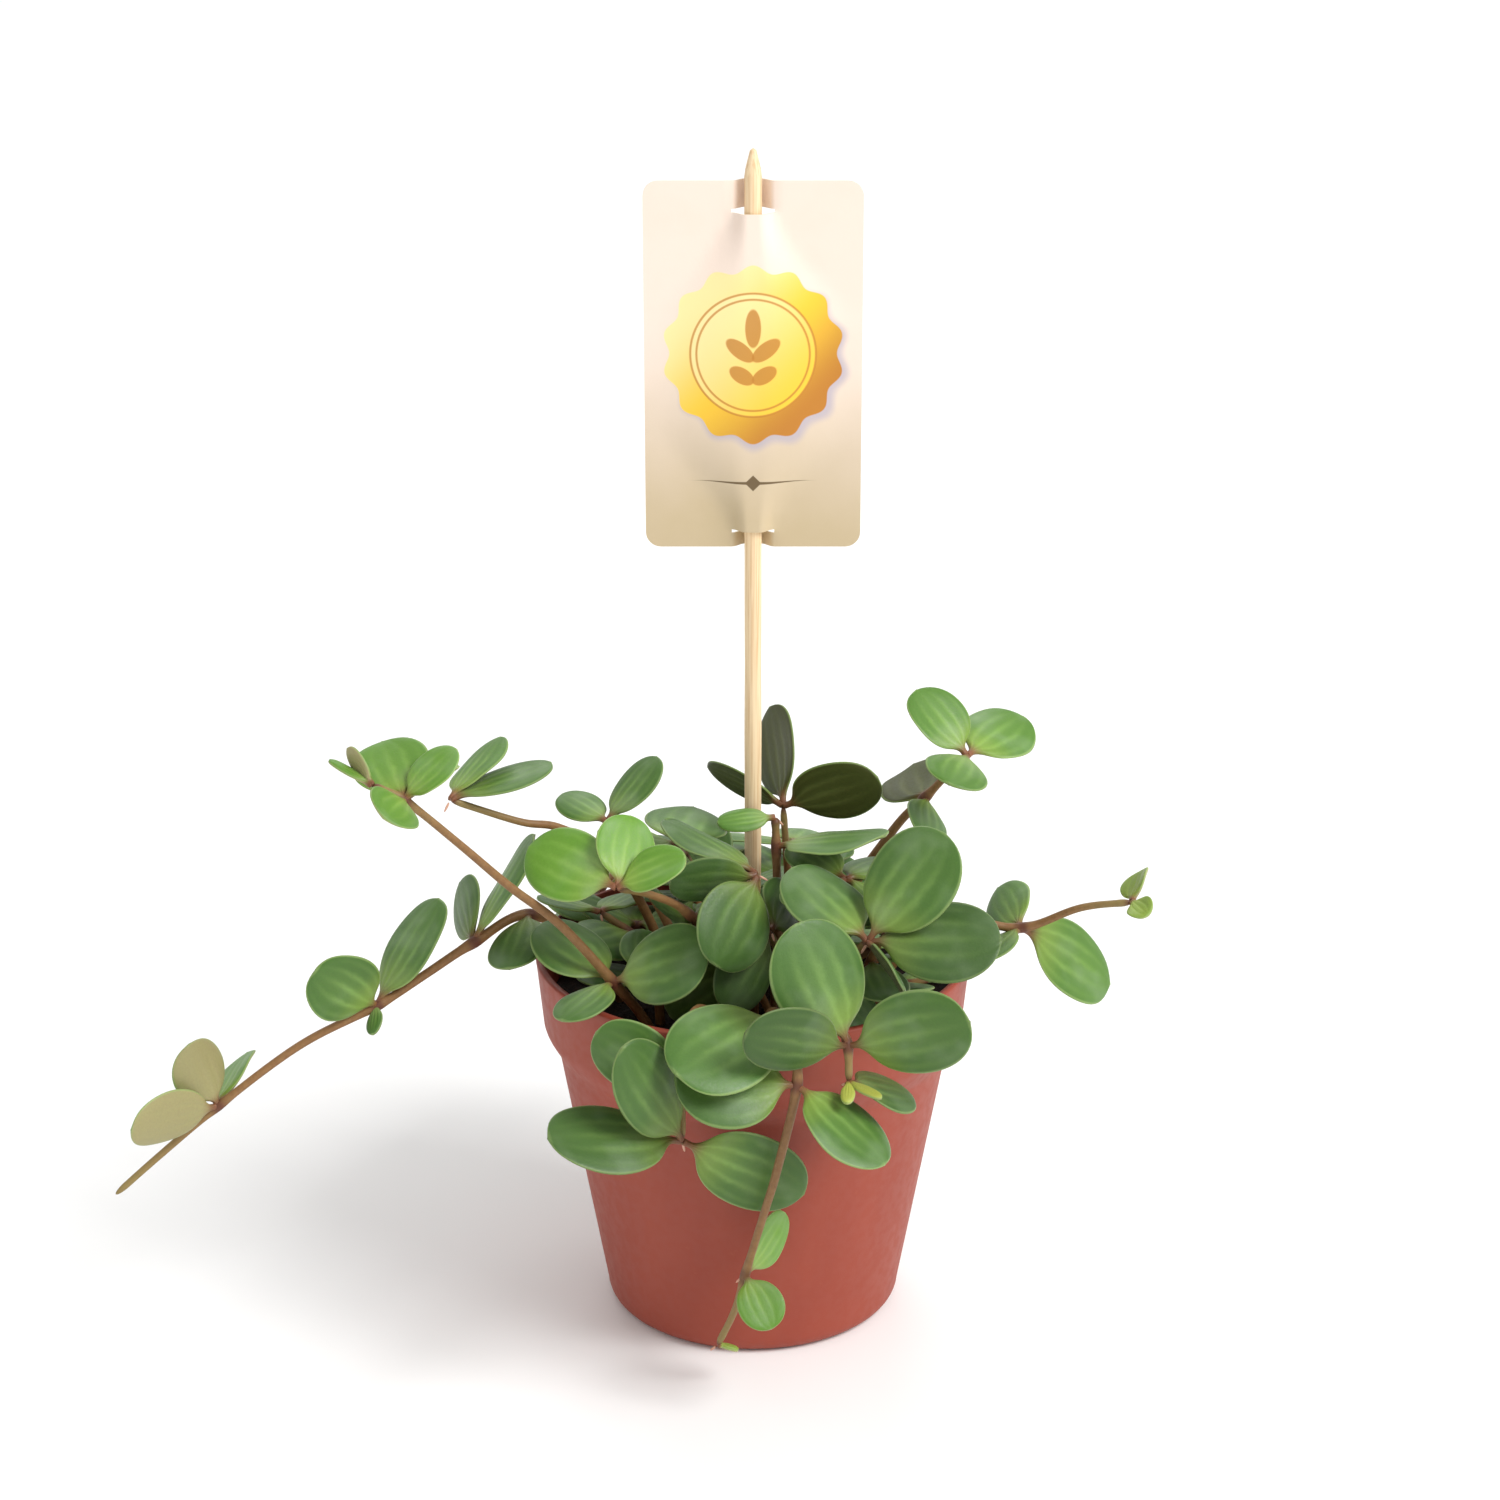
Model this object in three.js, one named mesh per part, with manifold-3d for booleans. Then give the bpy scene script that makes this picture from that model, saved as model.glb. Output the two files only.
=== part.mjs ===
// Potted trailing peperomia in a plastic nursery pot, with a plant card on a wooden stick.
// Millimetres, +Z up, the viewer stands at -Y. The origin is the centre of the pot's underside.

import * as THREE from 'three';
import { mergeVertices } from 'three/addons/utils/BufferGeometryUtils.js';
import Module from 'manifold-3d';

const wasm = await Module();
wasm.setup();

// ---------------------------------------------------------------- driving dimensions

const POT = {
  height: 78, rimRadius: 44.9, baseRadius: 30.2, footRound: 3.6,
  wall: 1.3, floor: 1.8, bodySlope: 0.178, collarFrom: 61, collarSlope: 0.1,
  facets: 48, holes: 6, holeRadius: 3, holeRing: 19,
};
const SOIL = { top: 67.5, relief: 1.3, gap: 0.35, rings: [10, 20, 30], facets: 24 };
const STICK = { radius: 1.75, foot: 22, pointFrom: 239.5, top: 243.5, pointRadius: 0.5, facets: 12 };
const CARD = {
  width: 42.4, bottom: 164.4, top: 237.2, thickness: 0.6, corner: 3,
  lowerSlit: 167.6, upperSlit: 231.4, slitHeight: 1, slitHalf: 5, ridgeHalf: 2.4, stickGap: 0.35,
};
const STALK = { half: 0.75, share: 0.14 };
const BLADE = { middle: 1.1, edge: 0.6, dome: -0.09, droop: 0.1 };
const TWIG = { facets: 6, rootRadius: 1.35, tipRadius: 1.15, stepsPerSpan: 2, rootZ: 60 };
const FIT = {
  leafApart: 2, twigApart: 3.4, besideTwig: 1.2, besideHolder: 1, edge: 1, hole: 0.35,
  nearNode: 5, nearSibling: 8, rooted: 4, sampleStep: 2, twigStep: 1.4,
};
const FILL = {
  seed: 41, leaves: 156, stems: 34, draws: 5000, longLeaf: 20, shortLeaf: 14, sides: 4, minimum: 3,
  handReach: 40, ruleReach: 35,
};
const MOUND = { top: 110, spread: 0.25, lean: 0.44, reach: 46 };
const VIEW = { elevation: 20, cell: 2.5 };

const COLOURS = {
  pot: 0xa8503a, soil: 0x2a1f19, stick: 0xe6cba6, card: 0xf3e2c8, leaf: 0x5c8246,
};

const DEGREE = Math.PI / 180;

// ---------------------------------------------------------------- the plant's stems, as they grow
// route: points along the stem, root first. whorls: [route point, leaves at that node], and each leaf is
// [heading round Z, rise above level, roll about its midrib (degrees), length with stalk, width, dome].

const STEMS = [
  {
    name: 'stem_long_left',
    route: [[-24, -2, 60], [-33, -3, 78], [-45.5, -6, 88], [-56.5, -12, 84.4], [-66.3, -16, 79],
      [-75.8, -20, 73.9], [-91, -25, 67.5], [-107.3, -30, 56.4], [-119, -33, 47], [-128, -36, 39.6]],
    whorls: [
      [2, [[-116, -7, -12, 19, 13]]],
      [3, [[110, 26, 72, 17, 13], [39, 66, 21, 25, 15]]],
      [5, [[-135, 38, 110, 18, 16, 0.1], [46, 48, 10, 25, 16], [-97, -26, -27, 7, 4]]],
      [7, [[-141, 1, -78, 21, 13, 0.1], [-175, 72, -135, 15, 13, 0.2], [73, 27, 40, 16, 12, 0.1]]],
    ],
  },
  {
    name: 'stem_upper_left',
    route: [[-17, -18, 60], [-22, -22, 72], [-27.8, -27, 82.2], [-38, -29, 95.4], [-47.5, -32, 104.7],
      [-56.7, -35, 114.7], [-66.9, -38, 125.1], [-72.7, -40, 128.8]],
    whorls: [
      [2, [[-21, 29, -47, 22, 18], [145, 24, 5, 20, 17], [-128, -4, -5, 16, 12]]],
      [6, [[112, 28, 15, 17, 16, 0.1], [78, 16, 29, 16, 15, 0.1], [-98, 10, 39, 13, 12, 0.1],
        [20, 20, -20, 14, 10, 0.1]]],
      [7, [[155, 28, -13, 10, 4], [129, 37, -92, 9, 5]]],
    ],
  },
  {
    name: 'stem_slim_left',
    route: [[-17, 8, 60], [-20, 6, 78], [-29, 0, 98], [-39, -6, 106.9], [-46.8, -10, 109.8],
      [-60.3, -14, 116]],
    whorls: [[5, [[23, 18, 0, 22, 13], [60, 30, 22, 19, 12]]]],
  },
  {
    name: 'stem_bright_left',
    route: [[-4, -12, 60], [-5, -16, 80], [-12.5, -24, 95.4], [-19.5, -30, 102], [-26.5, -34, 105.3]],
    whorls: [
      [4, [[159, 11, 47, 21, 16], [75, 40, -31, 16, 13, 0.1], [-6, 32, -31, 15, 11, 0.1]]],
      [2, [[30, -22, -23, 14.5, 13], [121, -20, 122, 18, 12]]],
    ],
  },
  {
    name: 'stem_front_right',
    route: [[8, -20, 60], [12, -31, 77], [14.5, -41, 82.5], [17, -47, 81], [18.3, -50, 78.9],
      [18.5, -52, 72]],
    whorls: [
      [4, [[164, 69, 44, 26, 21], [-143, 18, 103, 24.5, 15], [-27, 20, -93, 26, 18]]],
      [5, [[24, -17, -10, 15, 15], [-95, -10, 0, 6, 3], [-40, -5, 0, 8, 3]]],
    ],
  },
  {
    name: 'stem_right_crown',
    route: [[12, -16, 60], [15, -22, 78], [19, -29, 88.5], [22.5, -34, 93.9]],
    whorls: [
      [3, [[141, 34, 6, 22, 18], [20, 55, -35, 26, 20], [-19, 17, -39, 26, 19], [-63, -20, 48, 14, 11]]],
    ],
  },
  {
    name: 'stem_front_hanging',
    route: [[2, -20, 60], [3, -31, 76], [5, -41.5, 81.5], [7.5, -49.5, 78.5], [8.5, -52, 71.4],
      [4.7, -53, 53.8], [2.5, -52, 45], [-1.6, -49, 28.6], [-3.6, -46, 19.1], [-7.1, -42, 8.9]],
    whorls: [
      [4, [[-168, 7, 42, 24, 21], [-33, -24, 0, 23, 18]]],
      [2, [[-133, -3, 31, 27.5, 21]]],
      [7, [[41, 38, -90, 15, 10, 0.12], [-55, -38, -17, 12, 10, 0.12]]],
      [9, [[10, -15, 0, 4.5, 2]]],
    ],
  },
  {
    name: 'stem_front_left',
    route: [[-6, -20, 60], [-8, -31, 76], [-11, -41, 82.5], [-13, -46, 79.5], [-13.8, -47.5, 69],
      [-13.8, -51, 59]],
    whorls: [
      [5, [[-132, 60, 91, 27.5, 16], [-153, 18, 27, 28.5, 18], [2, -29, -89, 27.5, 17]]],
      [4, [[-178, 33, 93, 20, 15]]],
    ],
  },
  {
    name: 'stem_beside_stick',
    route: [[7, 4, 60], [7.5, 5, 85], [6.2, 4, 107.8]],
    whorls: [[2, [[92, 40, -120, 23, 15], [-14, 26, 64, 22, 17], [143, 19, -54, 19, 12]]]],
  },
  {
    name: 'stem_before_stick',
    route: [[4, -9, 60], [5, -8, 84], [4.7, -6, 102.8], [4.5, -5.5, 109]],
    whorls: [[2, [[-26, 16, 3, 25, 18]]], [3, [[-164, 4, 34, 12, 6]]]],
  },
  {
    name: 'stem_middle',
    route: [[0, -14, 60], [0.5, -18, 84], [0.8, -24, 104]],
    whorls: [[2, [[-114, -37, 56, 21, 18], [146, 28, -15, 23, 16], [-158, -1, 109, 18, 12]]]],
  },
  {
    name: 'stem_low_middle',
    route: [[5, -15.5, 60], [4, -21, 71], [-1, -25, 84]],
    whorls: [[2, [[-171, -33, 99, 18.5, 17]]]],
  },
  {
    name: 'stem_centre',
    route: [[8, -12, 60], [7, -17, 76], [3.5, -24, 92]],
    whorls: [[2, [[-126, -41, 68, 18.5, 14], [70, 11, -58, 15.5, 12]]]],
  },
  {
    name: 'stem_left_crown',
    route: [[-10, -2, 60], [-17, -4, 84], [-26, -5, 101], [-29.5, -5, 107.8]],
    whorls: [[3, [[39, 46, 0, 17, 11], [170, -12, 10, 13, 10]]]],
  },
  {
    name: 'stem_mid_left_crown',
    route: [[-6, -2, 60], [-9, -5, 82], [-15.5, -8, 104]],
    whorls: [[2, [[80, 7, -9, 20, 18], [-148, 21, 11, 18, 14]]]],
  },
  {
    name: 'stem_upper_right',
    route: [[14, 6, 60], [19, 8, 84], [29.2, 6, 102.2], [35.2, 4, 109.6], [39.1, 2, 114.9],
      [43.3, 0, 120.2]],
    whorls: [
      [3, [[92, -3, -153, 18, 18], [-86, -11, 38, 14, 11]]],
      [5, [[148, 49, 16, 17, 14, 0.1], [50, 14, -21, 20, 16], [-106, 1, 20, 14, 14]]],
    ],
  },
  {
    name: 'stem_far_right',
    route: [[22, -6, 60], [29, -7, 78], [42, -8, 87], [54.8, -8, 85.8], [66.2, -11, 91.5], [76.3, -14, 94]],
    whorls: [
      [3, [[104, 6, 44, 20, 12], [-148, -14, 1, 15, 14], [20, -34, -47, 27, 18]]],
      [5, [[74, 29, 45, 9, 8, 0.3], [-66, -1, -32, 6, 6, 0.3]]],
    ],
  },
];

// ---------------------------------------------------------------- small helpers

const vec = (x, y, z) => new THREE.Vector3(x, y, z);
const mix = (low, high, share) => low + (high - low) * share;

/** A seeded stream of numbers from 0 to 1, the same on every run. */
function seededRandom(seed) {
  let state = seed >>> 0;
  return () => {
    state = (state + 0x6d2b79f5) >>> 0;
    let mixed = Math.imul(state ^ (state >>> 15), state | 1);
    mixed ^= mixed + Math.imul(mixed ^ (mixed >>> 7), mixed | 61);
    return ((mixed ^ (mixed >>> 14)) >>> 0) / 4294967296;
  };
}

function geometryFrom(points, faces) {
  const geometry = new THREE.BufferGeometry();
  const places = points.flatMap((p) => [p.x, p.y, p.z]);
  geometry.setAttribute('position', new THREE.Float32BufferAttribute(places, 3));
  geometry.setIndex(faces.flat());
  return geometry;
}

function toSolid(geometry) {
  const bare = geometry.clone();
  bare.deleteAttribute('normal');
  bare.deleteAttribute('uv');
  const merged = mergeVertices(bare, 1e-4);
  return new wasm.Manifold(new wasm.Mesh({
    numProp: 3,
    vertProperties: new Float32Array(merged.attributes.position.array),
    triVerts: new Uint32Array(merged.index.array),
  }));
}

function fromSolid(solid) {
  const { vertProperties, triVerts } = solid.getMesh();
  const geometry = new THREE.BufferGeometry();
  geometry.setAttribute('position', new THREE.BufferAttribute(new Float32Array(vertProperties), 3));
  geometry.setIndex(new THREE.BufferAttribute(new Uint32Array(triVerts), 1));
  geometry.computeVertexNormals();
  return geometry;
}

function lathe(profile, facets) {
  const half = profile.map(([r, z]) => new THREE.Vector2(r, z));
  return new THREE.LatheGeometry(half, facets).rotateX(Math.PI / 2);
}

// ---------------------------------------------------------------- pot

/** Outer radius of the pot's wall at a height. */
function potOuter(z) {
  if (z >= POT.collarFrom + 1) return POT.rimRadius - (POT.height - z) * POT.collarSlope;
  return POT.baseRadius + z * POT.bodySlope;
}

const potInner = (z) => potOuter(z) - POT.wall;

function potGeometry() {
  const arc = [0, 30, 60, 90].map((turn) => [
    POT.baseRadius - POT.footRound * (1 - Math.sin(turn * DEGREE)) + POT.footRound * POT.bodySlope,
    POT.footRound * (1 - Math.cos(turn * DEGREE)),
  ]);
  const { height, collarFrom, rimRadius, wall, floor } = POT;
  const profile = [
    [0, 0], ...arc, [potOuter(collarFrom), collarFrom], [potOuter(collarFrom + 1.4), collarFrom + 1.4],
    [rimRadius, height - 0.8], [rimRadius - 0.4, height], [rimRadius - wall, height],
    [potInner(collarFrom + 1.4), collarFrom + 1.4], [potInner(collarFrom), collarFrom - 0.4],
    [potInner(floor + 3), floor + 3], [potInner(floor) - 2.6, floor], [0, floor],
  ];
  let solid = toSolid(lathe(profile, POT.facets));
  for (let i = 0; i < POT.holes; i++) {
    const turn = (2 * Math.PI * i) / POT.holes;
    const drill = new THREE.CylinderGeometry(POT.holeRadius, POT.holeRadius, 3 * floor, 10);
    drill.rotateX(Math.PI / 2);
    drill.translate(POT.holeRing * Math.cos(turn), POT.holeRing * Math.sin(turn), floor / 2);
    solid = solid.subtract(toSolid(drill));
  }
  return fromSolid(solid);
}

// ---------------------------------------------------------------- stems

const curveOf = (route) => new THREE.CatmullRomCurve3(route.map((p) => vec(...p)), false, 'catmullrom', 0.5);

/** Where a stem runs: a point and a radius at each step, root first. */
function twigStations(stem) {
  const curve = curveOf(stem.route);
  const steps = (stem.route.length - 1) * TWIG.stepsPerSpan;
  return Array.from({ length: steps + 1 }, (_, i) => ({
    at: curve.getPoint(i / steps),
    radius: mix(TWIG.rootRadius, TWIG.tipRadius, i / steps),
  }));
}

/** A closed round rod through stations, its rings carried along without twist. */
function rodGeometry(stations) {
  const points = [];
  const faces = [];
  const sides = TWIG.facets;
  let across = vec(1, 0.2, 0);
  stations.forEach(({ at, radius }, i) => {
    const before = stations[Math.max(i - 1, 0)].at;
    const after = stations[Math.min(i + 1, stations.length - 1)].at;
    const along = after.clone().sub(before).normalize();
    across = across.clone().addScaledVector(along, -across.dot(along)).normalize();
    const other = along.clone().cross(across);
    for (let k = 0; k < sides; k++) {
      const turn = (2 * Math.PI * k) / sides;
      points.push(at.clone().addScaledVector(across, radius * Math.cos(turn))
        .addScaledVector(other, radius * Math.sin(turn)));
    }
  });
  const ring = (i, k) => i * sides + (k % sides);
  for (let i = 0; i + 1 < stations.length; i++) {
    for (let k = 0; k < sides; k++) {
      faces.push([ring(i, k), ring(i, k + 1), ring(i + 1, k + 1)]);
      faces.push([ring(i, k), ring(i + 1, k + 1), ring(i + 1, k)]);
    }
  }
  const last = stations.length - 1;
  for (let k = 1; k + 1 < sides; k++) {
    faces.push([ring(0, 0), ring(0, k + 1), ring(0, k)], [ring(last, 0), ring(last, k), ring(last, k + 1)]);
  }
  return geometryFrom(points, faces);
}

/** Points along a stem close enough together to feel for neighbours. */
function twigSamples(stem) {
  const curve = curveOf(stem.route);
  const count = Math.ceil(curve.getLength() / FIT.twigStep);
  return Array.from({ length: count + 1 }, (_, i) => ({
    stem,
    at: curve.getPoint(i / count),
    radius: mix(TWIG.rootRadius, TWIG.tipRadius, i / count),
  }));
}

// ---------------------------------------------------------------- leaves

/** A leaf on its node: its axes come from heading, rise and roll, and its blade is domed and droops. */
function makeLeaf(node, [heading, rise, roll, length, width, dome = BLADE.dome, sides = 5]) {
  const h = heading * DEGREE;
  const e = rise * DEGREE;
  const r = roll * DEGREE;
  const along = vec(Math.cos(e) * Math.cos(h), Math.cos(e) * Math.sin(h), Math.sin(e));
  const level = vec(-Math.sin(e) * Math.cos(h), -Math.sin(e) * Math.sin(h), Math.cos(e));
  const left = level.clone().cross(along);
  return {
    node, along, length, dome,
    perSide: width < 9 ? 3 : sides,
    face: level.clone().multiplyScalar(Math.cos(r)).addScaledVector(left, Math.sin(r)),
    side: left.clone().multiplyScalar(Math.cos(r)).addScaledVector(level, -Math.sin(r)),
    stalk: length * STALK.share,
    half: width / 2,
  };
}

/** How far the blade's middle surface stands off its flat plane, a along the midrib and b across it. */
const lift = (leaf, a, b) => (leaf.dome * b * b) / leaf.half - (BLADE.droop * a * a) / leaf.length;

function halfWidthAt(leaf, a) {
  if (a < leaf.stalk) return STALK.half;
  const share = (2 * (a - leaf.stalk)) / (leaf.length - leaf.stalk) - 1;
  return Math.max(STALK.half, leaf.half * Math.sqrt(Math.max(0, 1 - share * share)));
}

const leafPoint = (leaf, a, b, raise = 0) => leaf.node.clone().addScaledVector(leaf.along, a)
  .addScaledVector(leaf.side, b).addScaledVector(leaf.face, lift(leaf, a, b) + raise);

/** One closed blade with its stalk: an elliptic outline with a raised middle, alike on both faces. */
function bladeGeometry(leaf) {
  const { perSide } = leaf;
  const span = leaf.length - leaf.stalk;
  const station = (i) => {
    const turn = (Math.PI * i) / (perSide + 1);
    return [leaf.stalk + (span * (1 - Math.cos(turn))) / 2, leaf.half * Math.sin(turn)];
  };
  const oneSide = Array.from({ length: perSide }, (_, i) => station(i + 1));
  const stalkEnds = [[0, STALK.half], [leaf.stalk, STALK.half]];
  const right = [...stalkEnds, ...oneSide].map(([a, b]) => [a, -b]);
  const left = [...stalkEnds, ...oneSide].reverse();
  const outline = [...right, [leaf.length, 0], ...left];
  const middles = perSide === 5 ? [0.3, 0.7] : [0.5];
  const inner = middles.map((share) => [leaf.stalk + span * share, 0]);
  const neck = outline.length - 2;
  const hub = outline.length;
  const shoulder = 1 + (perSide + 1) / 2;
  const upper = [[0, 1, neck], [0, neck, neck + 1], [1, hub, neck]];
  const fan = (from, to, centre) => {
    for (let i = from; i < to; i++) upper.push([i, i + 1, centre]);
  };
  if (middles.length === 1) {
    fan(1, neck, hub);
  } else {
    fan(1, shoulder, hub);
    fan(shoulder, neck + 1 - shoulder, hub + 1);
    fan(neck + 1 - shoulder, neck, hub);
    upper.push([shoulder, hub + 1, hub], [neck + 1 - shoulder, hub, hub + 1]);
  }
  const layer = (sign) => [
    ...outline.map(([a, b]) => leafPoint(leaf, a, b, (sign * BLADE.edge) / 2)),
    ...inner.map(([a, b]) => leafPoint(leaf, a, b, (sign * BLADE.middle) / 2)),
  ];
  const under = outline.length + inner.length;
  const faces = [...upper, ...upper.map(([i, j, k]) => [under + k, under + j, under + i])];
  outline.forEach((_, i) => {
    const next = (i + 1) % outline.length;
    faces.push([under + i, under + next, next], [under + i, next, i]);
  });
  return geometryFrom([...layer(1), ...layer(-1)], faces);
}

function leafSamples(leaf) {
  const rows = Math.ceil((leaf.length - leaf.stalk / 2) / FIT.sampleStep);
  const found = [];
  for (let i = 0; i <= rows; i++) {
    const a = mix(leaf.stalk / 2, leaf.length, i / rows);
    const half = halfWidthAt(leaf, a);
    const columns = Math.max(1, Math.ceil((2 * half) / FIT.sampleStep));
    for (let k = 0; k <= columns; k++) found.push(leafPoint(leaf, a, mix(-half, half, k / columns)));
  }
  return found;
}

// ---------------------------------------------------------------- keeping leaves clear of each other

/** Is a point, with some room around it, within reach of a blade? */
function touchesBlade(point, leaf, room, edge) {
  const from = point.clone().sub(leaf.node);
  const a = from.dot(leaf.along);
  if (a < -edge || a > leaf.length + edge) return false;
  const b = from.dot(leaf.side);
  if (Math.abs(b) > halfWidthAt(leaf, a) + edge) return false;
  return Math.abs(from.dot(leaf.face) - lift(leaf, a, b)) < room;
}

/** Is a point too close to the pot, the soil, the stick or the ground? */
function touchesHolder({ x, y, z }, room) {
  if (z < 1 + room) return true;
  const r = Math.hypot(x, y);
  if (r < STICK.radius + room) return true;
  if (z > POT.height + room || r > potOuter(z) + room) return false;
  return r > potInner(z) - room || z < SOIL.top + SOIL.relief + room;
}

/** What has been planted so far, and whether something new finds room beside it. */
class Thicket {
  constructor() {
    this.leaves = [];
    this.twigs = [];
  }

  leafFits(leaf, samples, ownStem) {
    if (samples.some((p) => touchesHolder(p, FIT.besideHolder))) return false;
    const near = (p, reach) => p.distanceTo(leaf.node) < reach;
    for (const { stem, at, radius } of this.twigs) {
      if (stem === ownStem && near(at, FIT.nearNode)) continue;
      if (touchesBlade(at, leaf, radius + FIT.besideTwig, radius)) return false;
    }
    const centre = leafPoint(leaf, leaf.length / 2, 0);
    for (const other of this.leaves) {
      if (centre.distanceTo(other.centre) > (leaf.length + other.leaf.length) / 2 + 3) continue;
      const siblings = other.leaf.node.distanceTo(leaf.node) < 1;
      const clear = (points, blade) => points.every((p) => (siblings && near(p, FIT.nearSibling))
        || !touchesBlade(p, blade, FIT.leafApart, FIT.edge));
      if (!clear(samples, other.leaf) || !clear(other.samples, leaf)) return false;
    }
    return true;
  }

  twigFits(samples) {
    for (const { at, radius } of samples) {
      const rooted = at.z < SOIL.top + FIT.rooted && Math.hypot(at.x, at.y) < potInner(at.z) - 3;
      if (!rooted && touchesHolder(at, radius + 0.5)) return false;
      const room = radius + FIT.besideTwig;
      if (this.leaves.some(({ leaf }) => touchesBlade(at, leaf, room, radius))) return false;
    }
    return !samples.some(({ at }) => this.twigs.some((twig) => at.distanceTo(twig.at) < FIT.twigApart));
  }

  addTwig(samples) {
    this.twigs.push(...samples);
  }

  /** Plants a leaf, turned as little as it takes to clear its neighbours. Gives null if it finds no room. */
  addLeaf(stem, node, spec, reach, allowed) {
    for (const [heading, rise, roll] of turnsWithin(reach)) {
      const [h, e, r, ...rest] = spec;
      const leaf = makeLeaf(node, [h + heading, e + rise, r + roll, ...rest]);
      const samples = leafSamples(leaf);
      if (!allowed(samples) || !this.leafFits(leaf, samples, stem)) continue;
      this.leaves.push({ leaf, samples, centre: leafPoint(leaf, leaf.length / 2, 0) });
      return leaf;
    }
    return null;
  }
}

/** Small turns of a leaf to try, the smallest first. */
function turnsWithin(reach) {
  const turns = [[0, 0, 0]];
  const ways = [[0, 1, 0], [0, -1, 0], [1, 0, 0], [-1, 0, 0], [0, 0, 1], [0, 0, -1],
    [1, 1, 0], [-1, 1, 0], [1, -1, 0], [-1, -1, 0], [1, 0, 1], [-1, 0, -1], [0, 1, 1], [0, -1, -1]];
  for (let size = 5; size <= reach; size += 5) {
    for (const way of ways) turns.push(way.map((part) => part * size));
  }
  return turns;
}

// ---------------------------------------------------------------- the rest of the bush, by rule

/** The height of the bush's outline over a place: a mound that leans to the front, where the light is. */
const moundTop = (x, y) => MOUND.top - MOUND.spread * Math.abs(x) - MOUND.lean * y;

/** A stem drawn by rule: a short one in the crown, or one that trails over the rim behind the pot. */
function drawStem(random, trails) {
  const bearing = trails ? mix(50, 130, random()) : mix(0, 360, random());
  const rootRadius = mix(5, 31, random());
  const reach = trails ? mix(51, 58, random()) : rootRadius + mix(3, 13, random());
  const crown = moundTop(reach * Math.cos(bearing * DEGREE), reach * Math.sin(bearing * DEGREE)) - 4;
  const peak = trails ? mix(81, 86, random()) : mix(76, Math.min(100, crown), random());
  const sway = mix(-12, 12, random());
  const out = (radius, z, turn) => {
    const angle = (bearing + turn) * DEGREE;
    return [radius * Math.cos(angle), radius * Math.sin(angle), z];
  };
  const route = [out(rootRadius, TWIG.rootZ, 0), out(rootRadius + 1, 74, 0)];
  if (trails) {
    const drop = mix(52, 64, random());
    route.push(out(mix(rootRadius, reach, 0.55), peak, sway / 2), out(reach, mix(drop, peak, 0.6), sway),
      out(reach + 1, drop, sway));
  } else {
    route.push(out(mix(rootRadius, reach, 0.5), mix(74, peak, 0.6), sway / 2), out(reach, peak, sway));
  }
  const leafLength = mix(FILL.shortLeaf, FILL.longLeaf, random());
  const whorls = [];
  for (let i = 2; i < route.length; i++) {
    const length = leafLength * mix(1, 0.55, (i - 2) / 4);
    whorls.push([i, drawWhorl(random, bearing, length, i === route.length - 1)]);
  }
  return { route, whorls };
}

function drawWhorl(random, bearing, leafLength, last) {
  const count = random() < 0.25 ? 4 : 3;
  const phase = bearing + (last ? 0 : 180 / count);
  return Array.from({ length: count }, (_, i) => {
    const length = leafLength * mix(0.88, 1.08, random());
    const heading = phase + (360 / count) * i + mix(-14, 14, random());
    const rise = mix(-12, 30, random());
    const roll = mix(-18, 18, random());
    const width = length * mix(0.74, 0.84, random());
    return [heading, rise, roll, length, width, BLADE.dome, FILL.sides];
  });
}

// ---------------------------------------------------------------- planting

function plantStem(thicket, stem, reach, allowed = () => true) {
  const grown = { name: stem.name, route: stem.route, leaves: [] };
  for (const [index, specs] of stem.whorls) {
    for (const spec of specs) {
      const leaf = thicket.addLeaf(stem, vec(...stem.route[index]), spec, reach, allowed);
      if (leaf) grown.leaves.push(leaf);
    }
  }
  return grown;
}

/** Remembers what the front of the plant shows, so that nothing drawn by rule grows before it. */
class FrontView {
  constructor() {
    this.cells = new Map();
    this.up = [Math.sin(VIEW.elevation * DEGREE), Math.cos(VIEW.elevation * DEGREE)];
  }

  cell(p) {
    return `${Math.round(p.x / VIEW.cell)} ${Math.round((p.y * this.up[0] + p.z * this.up[1]) / VIEW.cell)}`;
  }

  depth(p) {
    return p.y * this.up[1] - p.z * this.up[0];
  }

  add(points) {
    for (const p of points) {
      this.cells.set(this.cell(p), Math.min(this.depth(p), this.cells.get(this.cell(p)) ?? Infinity));
    }
  }

  /** Do all the points lie within the bush's mound, and behind what shows? */
  leavesFree(points) {
    return points.every((p) => p.z < moundTop(p.x, p.y) && Math.abs(p.x) < MOUND.reach
      && !(this.depth(p) < this.cells.get(this.cell(p))));
  }
}

function plantAll() {
  const thicket = new Thicket();
  const front = new FrontView();
  for (const stem of STEMS) thicket.addTwig(twigSamples(stem));
  const plants = STEMS.map((stem) => plantStem(thicket, stem, FILL.handReach));
  front.add(thicket.twigs.map(({ at }) => at));
  for (const { samples } of thicket.leaves) front.add(samples);
  const random = seededRandom(FILL.seed);
  for (let draw = 0; draw < FILL.draws; draw++) {
    if (thicket.leaves.length >= FILL.leaves || plants.length >= STEMS.length + FILL.stems) break;
    const stem = drawStem(random, draw % 4 === 0);
    const samples = twigSamples(stem);
    if (!front.leavesFree(samples.map(({ at }) => at)) || !thicket.twigFits(samples)) continue;
    const before = thicket.leaves.length;
    thicket.addTwig(samples);
    const grown = plantStem(thicket, stem, FILL.ruleReach, (points) => front.leavesFree(points));
    if (grown.leaves.length >= FILL.minimum) {
      plants.push({ ...grown, name: `stem_bush_${plants.length - STEMS.length + 1}` });
    } else {
      thicket.leaves.length = before;
      thicket.twigs.length -= samples.length;
    }
  }
  return plants;
}

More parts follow.
